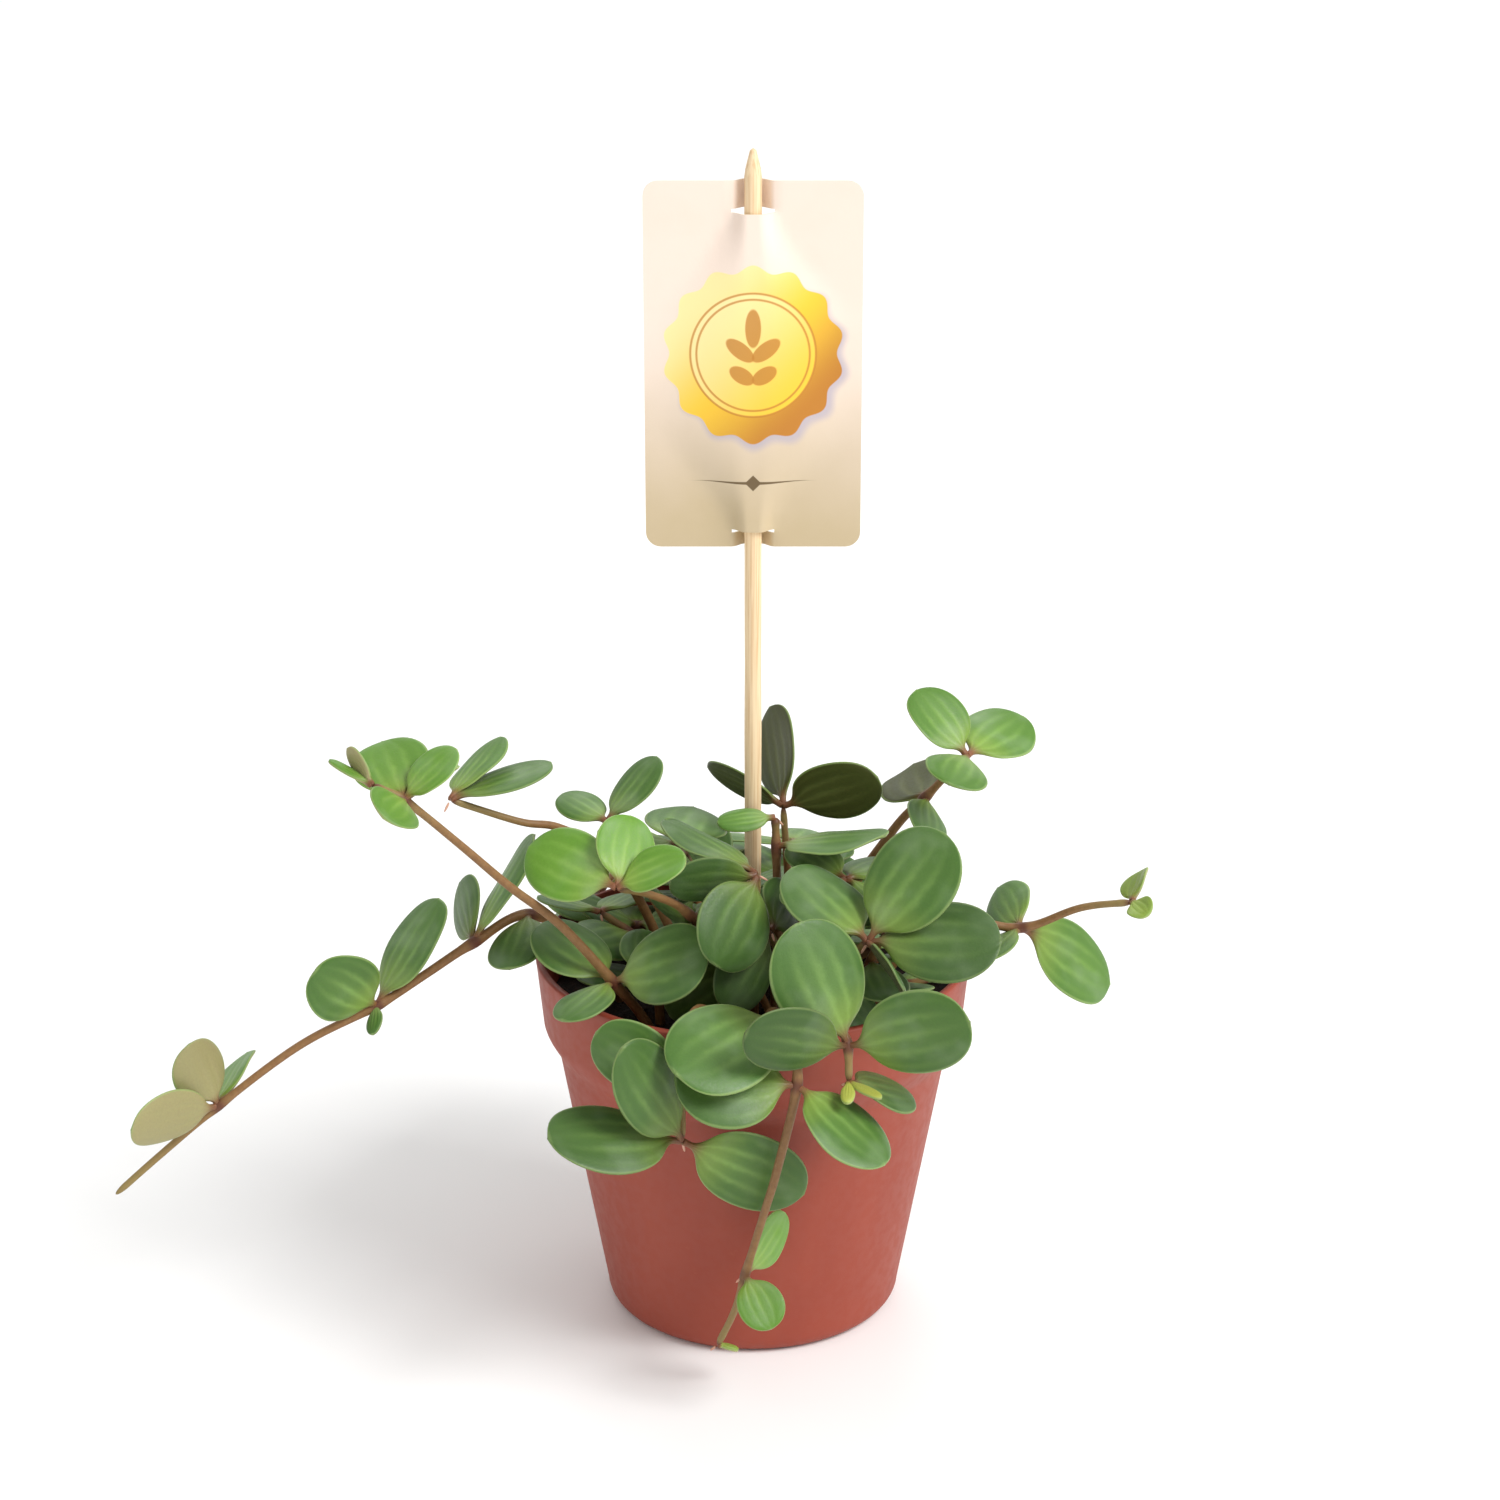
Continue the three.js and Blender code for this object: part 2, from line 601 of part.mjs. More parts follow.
/** A stem and its leaves, grown together into one body. */
function plantGeometry(plant) {
  const blades = plant.leaves.map((leaf) => toSolid(bladeGeometry(leaf)));
  return fromSolid(wasm.Manifold.union([toSolid(rodGeometry(twigStations(plant))), ...blades]));
}

// ---------------------------------------------------------------- soil

/** How far the soil's surface stands off level at a place: broad swells with finer lumps across them. */
const relief = (x, y) => SOIL.relief
  * (0.6 * Math.sin(0.33 * x + 1.1) * Math.cos(0.29 * y) + 0.4 * Math.sin(0.71 * x - 0.55 * y));

function soilGeometry(plants) {
  const foot = POT.floor + 0.3;
  const top = SOIL.top;
  const inset = (z) => potInner(z) - SOIL.gap;
  const profile = [
    [0, foot], [inset(foot) - 3, foot], [inset(foot + 3), foot + 3],
    [inset(POT.collarFrom - 1), POT.collarFrom - 1],
    [inset(top) - 2.2, top], ...[...SOIL.rings].reverse().map((r) => [r, top]), [0, top],
  ];
  const geometry = lathe(profile, SOIL.facets);
  const { position } = geometry.attributes;
  for (let i = 0; i < position.count; i++) {
    if (position.getZ(i) > top - 0.01) position.setZ(i, top + relief(position.getX(i), position.getY(i)));
  }
  let solid = toSolid(geometry);
  for (const plant of plants) {
    const buried = twigStations(plant).slice(0, 4);
    const hole = buried.map(({ at, radius }) => ({ at, radius: radius + FIT.hole }));
    hole[0] = { ...hole[0], at: hole[0].at.clone().add(vec(0, 0, -FIT.hole)) };
    solid = solid.subtract(toSolid(rodGeometry(hole)));
  }
  const boreRadius = STICK.radius + FIT.hole;
  const boreFoot = STICK.foot - FIT.hole;
  const half = [[0, boreFoot], [boreRadius, boreFoot], [boreRadius, POT.height], [0, POT.height]];
  const bore = lathe(half, STICK.facets);
  return fromSolid(solid.subtract(toSolid(bore)));
}

// ---------------------------------------------------------------- stick and card

function stickGeometry() {
  const { radius, foot, pointFrom, top, pointRadius, facets } = STICK;
  return lathe([[0, foot], [radius, foot], [radius, pointFrom], [pointRadius, top], [0, top]], facets);
}

/** Where the card's middle surface lies: before the stick between its slits, behind it beyond them. */
function cardDepth(x, z) {
  const clear = STICK.radius + CARD.stickGap + CARD.thickness / 2;
  const ridge = Math.abs(x) <= CARD.ridgeHalf ? 1
    : Math.max(0, (CARD.slitHalf - Math.abs(x)) / (CARD.slitHalf - CARD.ridgeHalf));
  return ridge * clear * (z > CARD.lowerSlit && z < CARD.upperSlit ? -1 : 1);
}

function cardGeometry() {
  const { width, bottom, top, thickness, corner } = CARD;
  const { lowerSlit, upperSlit, slitHeight, slitHalf, ridgeHalf } = CARD;
  const half = width / 2;
  const columns = [-half, -slitHalf, -ridgeHalf, ridgeHalf, slitHalf, half];
  const strip = (low, high) => {
    const shape = new THREE.Shape();
    const depth = (x, face) => cardDepth(x, (low + high) / 2) + (face * thickness) / 2;
    shape.moveTo(columns[0], depth(columns[0], -1));
    for (const x of columns.slice(1)) shape.lineTo(x, depth(x, -1));
    for (const x of [...columns].reverse()) shape.lineTo(x, depth(x, 1));
    const bar = new THREE.ExtrudeGeometry(shape, { depth: high - low, bevelEnabled: false });
    return toSolid(bar.translate(0, 0, low));
  };
  // The side bands join the middle panel to the end strips past the ends of each slit.
  const bands = [-1, 1].map((side) => {
    const wide = half - slitHalf;
    const box = new THREE.BoxGeometry(wide, thickness, top - bottom);
    return toSolid(box.translate(side * (slitHalf + wide / 2), 0, (top + bottom) / 2));
  });
  const gap = slitHeight / 2;
  const panels = [
    strip(bottom, lowerSlit - gap), strip(lowerSlit + gap, upperSlit - gap), strip(upperSlit + gap, top),
  ];
  const shape = new THREE.Shape();
  const low = bottom + corner;
  const high = top - corner;
  const inner = half - corner;
  shape.moveTo(-half, low).absarc(-inner, low, corner, Math.PI, 1.5 * Math.PI)
    .absarc(inner, low, corner, 1.5 * Math.PI, 2 * Math.PI).absarc(inner, high, corner, 0, 0.5 * Math.PI)
    .absarc(-inner, high, corner, 0.5 * Math.PI, Math.PI);
  const deep = 10 * STICK.radius;
  const rounded = new THREE.ExtrudeGeometry(shape, { depth: deep, bevelEnabled: false, curveSegments: 4 });
  rounded.rotateX(Math.PI / 2).translate(0, deep / 2, 0);
  return fromSolid(wasm.Manifold.union([...panels, ...bands]).intersect(toSolid(rounded)));
}

// ---------------------------------------------------------------- the whole plant

function addPart(group, name, geometry, color, roughness) {
  const mesh = new THREE.Mesh(geometry, new THREE.MeshStandardMaterial({ color, roughness, metalness: 0 }));
  mesh.name = name;
  group.add(mesh);
}

const plants = plantAll();
const group = new THREE.Group();
addPart(group, 'pot', potGeometry(), COLOURS.pot, 0.5);
addPart(group, 'soil', soilGeometry(plants), COLOURS.soil, 1);
addPart(group, 'stick', stickGeometry(), COLOURS.stick, 0.7);
addPart(group, 'card', cardGeometry(), COLOURS.card, 0.6);
for (const plant of plants) addPart(group, plant.name, plantGeometry(plant), COLOURS.leaf, 0.45);

export default group;
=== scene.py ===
"""A potted trailing peperomia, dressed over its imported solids.

Fleshy leaves on jointed stems, a moulded nursery pot with peat, and a plant card threaded on a
wooden stick. The stems are planted by the same rules as the solids, so each fine leaf stands
where its solid does. Plant sizes are in millimetres; every finished mesh is in metres.
"""

import logging
import math
from dataclasses import dataclass, replace
from functools import cached_property, lru_cache, partial
from typing import Callable, ClassVar, Iterator

import bmesh
import bpy
import numpy as np
from mathutils import Matrix, Vector, noise


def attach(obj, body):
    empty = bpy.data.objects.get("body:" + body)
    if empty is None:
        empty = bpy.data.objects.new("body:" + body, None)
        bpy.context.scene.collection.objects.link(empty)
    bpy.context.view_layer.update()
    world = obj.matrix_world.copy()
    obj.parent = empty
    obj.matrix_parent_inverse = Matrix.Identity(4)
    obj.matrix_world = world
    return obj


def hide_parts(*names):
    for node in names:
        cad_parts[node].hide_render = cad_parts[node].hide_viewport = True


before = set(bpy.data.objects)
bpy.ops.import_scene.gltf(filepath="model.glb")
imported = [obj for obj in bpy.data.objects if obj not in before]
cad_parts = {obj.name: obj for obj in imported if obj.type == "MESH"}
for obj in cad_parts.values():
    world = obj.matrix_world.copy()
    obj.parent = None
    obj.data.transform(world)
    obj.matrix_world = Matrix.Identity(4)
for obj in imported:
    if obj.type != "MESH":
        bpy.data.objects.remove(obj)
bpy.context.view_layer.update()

LOG = logging.getLogger("peperomia")
MM = 0.001
FULL_TURN = 2 * math.pi

Range = tuple[float, float]
Point = tuple[float, float, float]
Route = list[Point]
BMesh, Material = bmesh.types.BMesh, bpy.types.Material
Node, Socket = bpy.types.Node, bpy.types.NodeSocket
AddNode = Callable[..., Node]
# A leaf: heading round Z, rise above level, roll about its midrib (degrees), length with stalk,
# width and, where it isn't the usual one, the dome of its blade.
LeafSpec = tuple[float, ...]

SOIL_TOP, SOIL_RELIEF, SOIL_GAP = 67.5, 1.3, 0.35
STICK_RADIUS = 1.75
STALK_HALF, STALK_SHARE = 0.75, 0.14
DOME, DROOP = -0.09, 0.1
TWIG_ROOT, TWIG_TIP, TWIG_ROOT_Z = 1.35, 1.15, 60.0
SMOOTH, COLOUR = {"interpolation_type": "SMOOTHSTEP"}, {"data_type": "RGBA"}
PLUS, MINUS, TIMES, TIMES_PLUS = (
    {"operation": name} for name in ("ADD", "SUBTRACT", "MULTIPLY", "MULTIPLY_ADD"))


@dataclass(frozen=True)
class PotSize:
    """Sizes of the nursery pot that the plant grows round, in millimetres.

    The slopes are how much the radius grows with each millimetre of height.
    """

    height: float = 78.0
    rim_radius: float = 44.9
    base_radius: float = 30.2
    foot_round: float = 3.6
    wall: float = 1.3
    floor: float = 1.8
    body_slope: float = 0.178
    collar_from: float = 61.0
    collar_slope: float = 0.1
    holes: int = 6
    hole_radius: float = 3.0
    hole_ring: float = 19.0


@dataclass(frozen=True)
class Room:
    """How much room the solids keep from each other, in millimetres.

    Attributes:
        leaf_apart, twig_apart: between two leaves, and between the middles of two stems.
        beside_twig, beside_holder: from a leaf to a stem, and to the pot, soil or stick.
        edge: how far past a leaf's outline its room reaches.
        near_node, near_sibling: how near a node a leaf may touch its stem, or the next leaf.
        leaf_reach: how far apart two leaves are when they are no longer compared.
        rooted, root_wall: how high above the soil a stem counts as rooted, and its room there.
        twig_skin: from a stem to the pot or the soil.
        sample_step, twig_step: how closely leaves and stems are felt for.
    """

    leaf_apart: float = 2.0
    twig_apart: float = 3.4
    beside_twig: float = 1.2
    beside_holder: float = 1.0
    edge: float = 1.0
    near_node: float = 5.0
    near_sibling: float = 8.0
    leaf_reach: float = 3.0
    rooted: float = 4.0
    root_wall: float = 3.0
    twig_skin: float = 0.5
    sample_step: float = 2.0
    twig_step: float = 1.4


@dataclass(frozen=True)
class Fill:
    """How the rest of the bush is drawn: a seeded search inside a mound that leans to the light.

    Attributes:
        seed, draws: what the search starts from, and how many stems it may try.
        leaves, stems: how many leaves in all, and how many stems by rule, end the search.
        trailing_every: each such stem trails over the rim behind.
        minimum: how many leaves a stem has to bear.
        hand_reach, rule_reach: the largest turn of a leaf, in degrees.
        mound_top, mound_spread, mound_lean, mound_reach: the bush's height over the stick, how
            it falls to the sides and rises to the front, and how wide it is.
        view_elevation, view_cell: the view of it from the front, and how finely it is kept.
    """

    seed: int = 41
    leaves: int = 156
    stems: int = 34
    draws: int = 5000
    trailing_every: int = 4
    minimum: int = 3
    hand_reach: int = 40
    rule_reach: int = 35
    mound_top: float = 110.0
    mound_spread: float = 0.25
    mound_lean: float = 0.44
    mound_reach: float = 46.0
    view_elevation: float = 20.0
    view_cell: float = 2.5


@dataclass(frozen=True)
class Habit:
    """How the stems drawn by rule grow, as ranges in millimetres, degrees or shares.

    Attributes:
        behind: the way that a trailing stem leans.
        root: how far from the stick it is rooted.
        trail_reach, crown_reach: how far from the stick, or from its root, it reaches.
        trail_peak, crown_peak: how high it climbs.
        under_mound: how far below the mound's outline it stays.
        sway: how far it turns aside on its way.
        drop: how low a trailing stem hangs.
        neck: height of its second point.
        leaf: length of its leaves.
        least_leaf: share of that length that is left four nodes up.
        four_leaved: how many of the nodes bear four leaves and not three.
        leaf_share, width_share: each leaf's length beside the stem's, and its width beside that.
        heading, rise, roll: how each leaf strays.
        tip_youth: how young the leaves at its tip are.
    """

    behind: Range = (50, 130)
    root: Range = (5, 31)
    trail_reach: Range = (51, 58)
    crown_reach: Range = (3, 13)
    trail_peak: Range = (81, 86)
    crown_peak: Range = (76, 100)
    under_mound: float = 4.0
    sway: Range = (-12, 12)
    drop: Range = (52, 64)
    neck: float = 74.0
    leaf: Range = (14.0, 20.0)
    least_leaf: float = 0.55
    four_leaved: float = 0.25
    leaf_share: Range = (0.88, 1.08)
    width_share: Range = (0.74, 0.84)
    heading: Range = (-14, 14)
    rise: Range = (-12, 30)
    roll: Range = (-18, 18)
    tip_youth: float = 0.12


POT, ROOM, FILL, HABIT = PotSize(), Room(), Fill(), Habit()


@dataclass(frozen=True)
class Whorl:
    """The leaves at one node of a stem.

    Attributes:
        index: which point of the stem's route the node is.
        leaves: each leaf's pose and size.
        youth_and_shade: 0 for full-grown leaves, 1 for yellow-green new ones; below 0, painted
            shade, darkest at -1.
    """

    index: int
    leaves: list[LeafSpec]
    youth_and_shade: float = 0.0


@dataclass(frozen=True)
class Stem:
    """A stem as it grows: its route, root first, and its whorls of leaves."""

    name: str
    route: Route
    whorls: list[Whorl]


# A whorl's last number below zero is painted shade: it darkens leaves that lie in the shade of the
# leaves above them.
STEMS = [
    Stem("stem_long_left", [(-24, -2, 60), (-33, -3, 78), (-45.5, -6, 88), (-56.5, -12, 84.4),
         (-66.3, -16, 79), (-75.8, -20, 73.9), (-91, -25, 67.5), (-107.3, -30, 56.4),
         (-119, -33, 47), (-128, -36, 39.6)], [
        Whorl(2, [(-116, -7, -12, 19, 13)]),
        Whorl(3, [(110, 26, 72, 17, 13), (39, 66, 21, 25, 15)]),
        Whorl(5, [(-135, 38, 110, 18, 16, 0.1), (46, 48, 10, 25, 16), (-97, -26, -27, 7, 4)]),
        Whorl(7, [(-141, 1, -78, 21, 13, 0.1), (-175, 72, -135, 15, 13, 0.2),
                  (73, 27, 40, 16, 12, 0.1)], 0.5)]),
    Stem("stem_upper_left", [(-17, -18, 60), (-22, -22, 72), (-27.8, -27, 82.2), (-38, -29, 95.4),
         (-47.5, -32, 104.7), (-56.7, -35, 114.7), (-66.9, -38, 125.1), (-72.7, -40, 128.8)], [
        Whorl(2, [(-21, 29, -47, 22, 18), (145, 24, 5, 20, 17), (-128, -4, -5, 16, 12)]),
        Whorl(6, [(112, 28, 15, 17, 16, 0.1), (78, 16, 29, 16, 15, 0.1), (-98, 10, 39, 13, 12, 0.1),
                  (20, 20, -20, 14, 10, 0.1)], 0.6),
        Whorl(7, [(155, 28, -13, 10, 4), (129, 37, -92, 9, 5)], 0.8)]),
    Stem("stem_slim_left", [(-17, 8, 60), (-20, 6, 78), (-29, 0, 98), (-39, -6, 106.9),
         (-46.8, -10, 109.8), (-60.3, -14, 116)], [
        Whorl(5, [(23, 18, 0, 22, 13), (60, 30, 22, 19, 12)], 0.2)]),
    Stem("stem_bright_left", [(-4, -12, 60), (-5, -16, 80), (-12.5, -24, 95.4), (-19.5, -30, 102),
         (-26.5, -34, 105.3)], [
        Whorl(4, [(159, 11, 47, 21, 16), (75, 40, -31, 16, 13, 0.1),
                  (-6, 32, -31, 15, 11, 0.1)], 0.65),
        Whorl(2, [(30, -22, -23, 14.5, 13), (121, -20, 122, 18, 12)], -0.8)]),
    Stem("stem_front_right", [(8, -20, 60), (12, -31, 77), (14.5, -41, 82.5), (17, -47, 81),
         (18.3, -50, 78.9), (18.5, -52, 72)], [
        Whorl(4, [(164, 69, 44, 26, 21)]),
        Whorl(4, [(-143, 18, 103, 24.5, 15)], -0.9),
        Whorl(4, [(-27, 20, -93, 26, 18)], 0.15),
        Whorl(5, [(24, -17, -10, 15, 15)], -0.3),
        Whorl(5, [(-95, -10, 0, 6, 3), (-40, -5, 0, 8, 3)], 1.0)]),
    Stem("stem_right_crown", [(12, -16, 60), (15, -22, 78), (19, -29, 88.5), (22.5, -34, 93.9)], [
        Whorl(3, [(141, 34, 6, 22, 18)], -0.5),
        Whorl(3, [(20, 55, -35, 26, 20)], 0.1),
        Whorl(3, [(-19, 17, -39, 26, 19), (-63, -20, 48, 14, 11)], -0.6)]),
    Stem("stem_front_hanging", [(2, -20, 60), (3, -31, 76), (5, -41.5, 81.5), (7.5, -49.5, 78.5),
         (8.5, -52, 71.4), (4.7, -53, 53.8), (2.5, -52, 45), (-1.6, -49, 28.6), (-3.6, -46, 19.1),
         (-7.1, -42, 8.9)], [
        Whorl(4, [(-168, 7, 42, 24, 21)], -0.35),
        Whorl(4, [(-33, -24, 0, 23, 18)], -0.1),
        Whorl(2, [(-133, -3, 31, 27.5, 21)], 0.1),
        Whorl(7, [(41, 38, -90, 15, 10, 0.12), (-55, -38, -17, 12, 10, 0.12)], 0.75),
        Whorl(9, [(10, -15, 0, 4.5, 2)], 0.9)]),
    Stem("stem_front_left", [(-6, -20, 60), (-8, -31, 76), (-11, -41, 82.5), (-13, -46, 79.5),
         (-13.8, -47.5, 69), (-13.8, -51, 59)], [
        Whorl(5, [(-132, 60, 91, 27.5, 16)], -0.5),
        Whorl(5, [(-153, 18, 27, 28.5, 18)], -0.5),
        Whorl(5, [(2, -29, -89, 27.5, 17)], -0.35),
        Whorl(4, [(-178, 33, 93, 20, 15)], 0.1)]),
    Stem("stem_beside_stick", [(7, 4, 60), (7.5, 5, 85), (6.2, 4, 107.8)], [
        Whorl(2, [(92, 40, -120, 23, 15), (-14, 26, 64, 22, 17), (143, 19, -54, 19, 12)])]),
    Stem("stem_before_stick", [(4, -9, 60), (5, -8, 84), (4.7, -6, 102.8), (4.5, -5.5, 109)], [
        Whorl(2, [(-26, 16, 3, 25, 18)]),
        Whorl(3, [(-164, 4, 34, 12, 6)], 0.3)]),
    Stem("stem_middle", [(0, -14, 60), (0.5, -18, 84), (0.8, -24, 104)], [
        Whorl(2, [(-114, -37, 56, 21, 18), (146, 28, -15, 23, 16),
                  (-158, -1, 109, 18, 12)], -0.7)]),
    Stem("stem_low_middle", [(5, -15.5, 60), (4, -21, 71), (-1, -25, 84)], [
        Whorl(2, [(-171, -33, 99, 18.5, 17)], -0.3)]),
    Stem("stem_centre", [(8, -12, 60), (7, -17, 76), (3.5, -24, 92)], [
        Whorl(2, [(-126, -41, 68, 18.5, 14), (70, 11, -58, 15.5, 12)], -0.9)]),
    Stem("stem_left_crown", [(-10, -2, 60), (-17, -4, 84), (-26, -5, 101), (-29.5, -5, 107.8)], [
        Whorl(3, [(39, 46, 0, 17, 11), (170, -12, 10, 13, 10)], 0.1)]),
    Stem("stem_mid_left_crown", [(-6, -2, 60), (-9, -5, 82), (-15.5, -8, 104)], [
        Whorl(2, [(80, 7, -9, 20, 18), (-148, 21, 11, 18, 14)])]),
    Stem("stem_upper_right", [(14, 6, 60), (19, 8, 84), (29.2, 6, 102.2), (35.2, 4, 109.6),
         (39.1, 2, 114.9), (43.3, 0, 120.2)], [
        Whorl(3, [(92, -3, -153, 18, 18), (-86, -11, 38, 14, 11)]),
        Whorl(5, [(148, 49, 16, 17, 14, 0.1), (50, 14, -21, 20, 16), (-106, 1, 20, 14, 14)], 0.3)]),
    Stem("stem_far_right", [(22, -6, 60), (29, -7, 78), (42, -8, 87), (54.8, -8, 85.8),
         (66.2, -11, 91.5), (76.3, -14, 94)], [
        Whorl(3, [(104, 6, 44, 20, 12), (-148, -14, 1, 15, 14), (20, -34, -47, 27, 18)], 0.3),
        Whorl(5, [(74, 29, 45, 9, 8, 0.3), (-66, -1, -32, 6, 6, 0.3)], 0.9)]),
]


# ---------------------------------------------------------------- small helpers


def mix(low: float, high: float, share: float) -> float:
    """Gives the value a share of the way from low to high."""
    return low + (high - low) * share


def eased(share: float) -> float:
    """Smooths a share at both its ends."""
    return share * share * (3 - 2 * share)


def seeded_stream(seed: int) -> Iterator[float]:
    """Yields numbers from 0 to 1, the same on every run and the same as the solids' own stream."""
    mask = 0xFFFFFFFF
    state = seed & mask
    while True:
        state = (state + 0x6D2B79F5) & mask
        mixed = ((state ^ (state >> 15)) * (state | 1)) & mask
        mixed ^= (mixed + (((mixed ^ (mixed >> 7)) * (mixed | 61)) & mask)) & mask
        yield ((mixed ^ (mixed >> 14)) & mask) / (mask + 1)


def route_points(route: Route, at: np.ndarray) -> np.ndarray:
    """Runs a smooth curve through a route.

    Args:
        route: the points that the curve passes, in millimetres.
        at: places along it, from 0 at the first point to 1 at the last, evenly by point.

    Returns:
        One row of x, y and z for each place.
    """
    pts = np.array(route, float)
    padded = np.vstack([2 * pts[0] - pts[1], pts, 2 * pts[-1] - pts[-2]])
    spans = len(pts) - 1
    place = np.asarray(at, float) * spans
    index = np.minimum(np.floor(place).astype(int), spans - 1)
    w = (place - index)[:, None]
    p0, p1, p2, p3 = (padded[index + k] for k in range(4))
    t0, t1 = 0.5 * (p2 - p0), 0.5 * (p3 - p1)
    return (p1 + t0 * w + (-3 * p1 + 3 * p2 - 2 * t0 - t1) * w**2
            + (2 * p1 - 2 * p2 + t0 + t1) * w**3)


def distances(points: np.ndarray, place: np.ndarray) -> np.ndarray:
    """Measures from each point to a place."""
    off = points - place
    return np.sqrt((off * off).sum(-1))


def route_length(route: Route, chords: int = 200) -> float:
    """Measures a route's curve along many short chords."""
    pts = route_points(route, np.arange(chords + 1) / chords)
    return float(np.linalg.norm(np.diff(pts, axis=0), axis=1).sum())


def pot_outer(z: float) -> float:
    """Gives the outer radius of the pot's wall at a height."""
    collar = POT.rim_radius - (POT.height - z) * POT.collar_slope
    body = POT.base_radius + z * POT.body_slope
    return np.where(np.asarray(z) >= POT.collar_from + 1, collar, body)


# ---------------------------------------------------------------- leaves and the room round them


def half_width(length: float, half: float, a: np.ndarray | float) -> np.ndarray:
    """Gives half the width of a leaf of some length and half width at a place along it."""
    stalk = length * STALK_SHARE
    share = 2 * (a - stalk) / (length - stalk) - 1
    blade = half * np.sqrt(np.maximum(0, 1 - share * share))
    return np.where(a < stalk, STALK_HALF, np.maximum(STALK_HALF, blade))


@lru_cache(maxsize=None)
def feelers(length: float, half: float) -> tuple[np.ndarray, np.ndarray]:
    """Spreads places over a leaf, as distances along its midrib and across it."""
    start = length * STALK_SHARE / 2
    rows = math.ceil((length - start) / ROOM.sample_step)
    places = []
    for i in range(rows + 1):
        a = mix(start, length, i / rows)
        edge = float(half_width(length, half, a))
        columns = max(1, math.ceil(2 * edge / ROOM.sample_step))
        places += [(a, mix(-edge, edge, k / columns)) for k in range(columns + 1)]
    a, b = np.array(places).T
    return a, b


@dataclass
class Leaf:
    """A leaf on its node, as the solids have it, in one pose or in several turns at once.

    Attributes:
        node: where it leaves the stem.
        along, side, face: its axes, towards the tip, to its left and out of its upper face;
            one row for each turn where there are several.
        length, half: length with stalk, and half the blade's width.
        dome: how its sides stand off its plane; below zero they bend down.
        youth_and_shade: 0 for a full-grown leaf, 1 for a new one; below 0, painted shade, darkest
            at -1.
    """

    node: np.ndarray
    along: np.ndarray
    side: np.ndarray
    face: np.ndarray
    length: float
    half: float
    dome: float
    youth_and_shade: float

    @classmethod
    def turned(cls, node: np.ndarray, spec: LeafSpec, turns: np.ndarray, youth_and_shade: float) -> "Leaf":
        """Sets a leaf on a node in several turns.

        Args:
            node: the node's place.
            spec: heading, rise, roll, length, width and perhaps dome.
            turns: one row of extra heading, rise and roll for each turn.
            youth_and_shade: how young the leaf is, and below 0 how much painted shade darkens it.

        Returns:
            The leaf, with one row of axes for each turn.
        """
        h, e, r = ((np.array(spec[:3]) + turns) * (math.pi / 180)).T[..., None]
        along = np.hstack([np.cos(e) * np.cos(h), np.cos(e) * np.sin(h), np.sin(e)])
        level = np.hstack([-np.sin(e) * np.cos(h), -np.sin(e) * np.sin(h), np.cos(e)])
        left = np.hstack([-np.sin(h), np.cos(h), 0 * h])
        dome = spec[5] if len(spec) > 5 else DOME
        return cls(node, along, left * np.cos(r) - level * np.sin(r),
                   level * np.cos(r) + left * np.sin(r), spec[3], spec[4] / 2, dome, youth_and_shade)

    def pick(self, index: int) -> "Leaf":
        """Gives the leaf in one of its turns."""
        return replace(self, along=self.along[index], side=self.side[index],
                       face=self.face[index])

    @cached_property
    def samples(self) -> np.ndarray:
        """Points all over the leaf, close enough together to feel for neighbours."""
        return self.points(*feelers(self.length, self.half))

    @cached_property
    def centre(self) -> np.ndarray:
        """The middle of the leaf."""
        return self.points(np.array([self.length / 2]), np.array([0.0]))[..., 0, :]

    @property
    def stalk(self) -> float:
        """Length of the stalk between the node and the blade."""
        return self.length * STALK_SHARE

    def lift(self, a: np.ndarray, b: np.ndarray) -> np.ndarray:
        """Gives how far the blade stands off its plane, a along the midrib and b across it."""
        return self.dome * b * b / self.half - DROOP * a * a / self.length

    def points(self, a: np.ndarray, b: np.ndarray, raised: np.ndarray | float = 0.0) -> np.ndarray:
        """Gives the places in space for places on the leaf.

        Args:
            a: distances along the midrib.
            b: distances across it.
            raised: distances above the blade's middle surface.

        Returns:
            One row of x, y and z for each place, and one such table for each turn.
        """
        parts = ((a, self.along), (b, self.side), (self.lift(a, b) + raised, self.face))
        return self.node + sum(step[:, None] * axis[..., None, :] for step, axis in parts)

    def touched(self, points: np.ndarray, room: np.ndarray | float,
                edge: np.ndarray | float) -> np.ndarray:
        """Tells which points lie within reach of the leaf.

        Args:
            points: the places to test.
            room: how far above or below the blade counts as touching.
            edge: how far past its outline still counts.

        Returns:
            One truth value for each point, or for each point and turn.
        """
        off = points - self.node
        a, b, high = (off @ axis.T for axis in (self.along, self.side, self.face))
        if a.ndim > 1:
            room, edge = (np.reshape(value, (-1, 1)) for value in (room, edge))
        return ((a >= -edge) & (a <= self.length + edge)
                & (np.abs(b) <= half_width(self.length, self.half, a) + edge)
                & (np.abs(high - self.lift(a, b)) < room))


def touches_holder(points: np.ndarray, room: np.ndarray | float) -> np.ndarray:
    """Tells which points lack room beside the pot, the soil, the stick or the ground."""
    z = points[..., 2]
    r = np.hypot(points[..., 0], points[..., 1])
    outer = pot_outer(z)
    outside = (z > POT.height + room) | (r > outer + room)
    inside = (r > outer - POT.wall - room) | (z < SOIL_TOP + SOIL_RELIEF + room)
    return (z < 1 + room) | (r < STICK_RADIUS + room) | (~outside & inside)


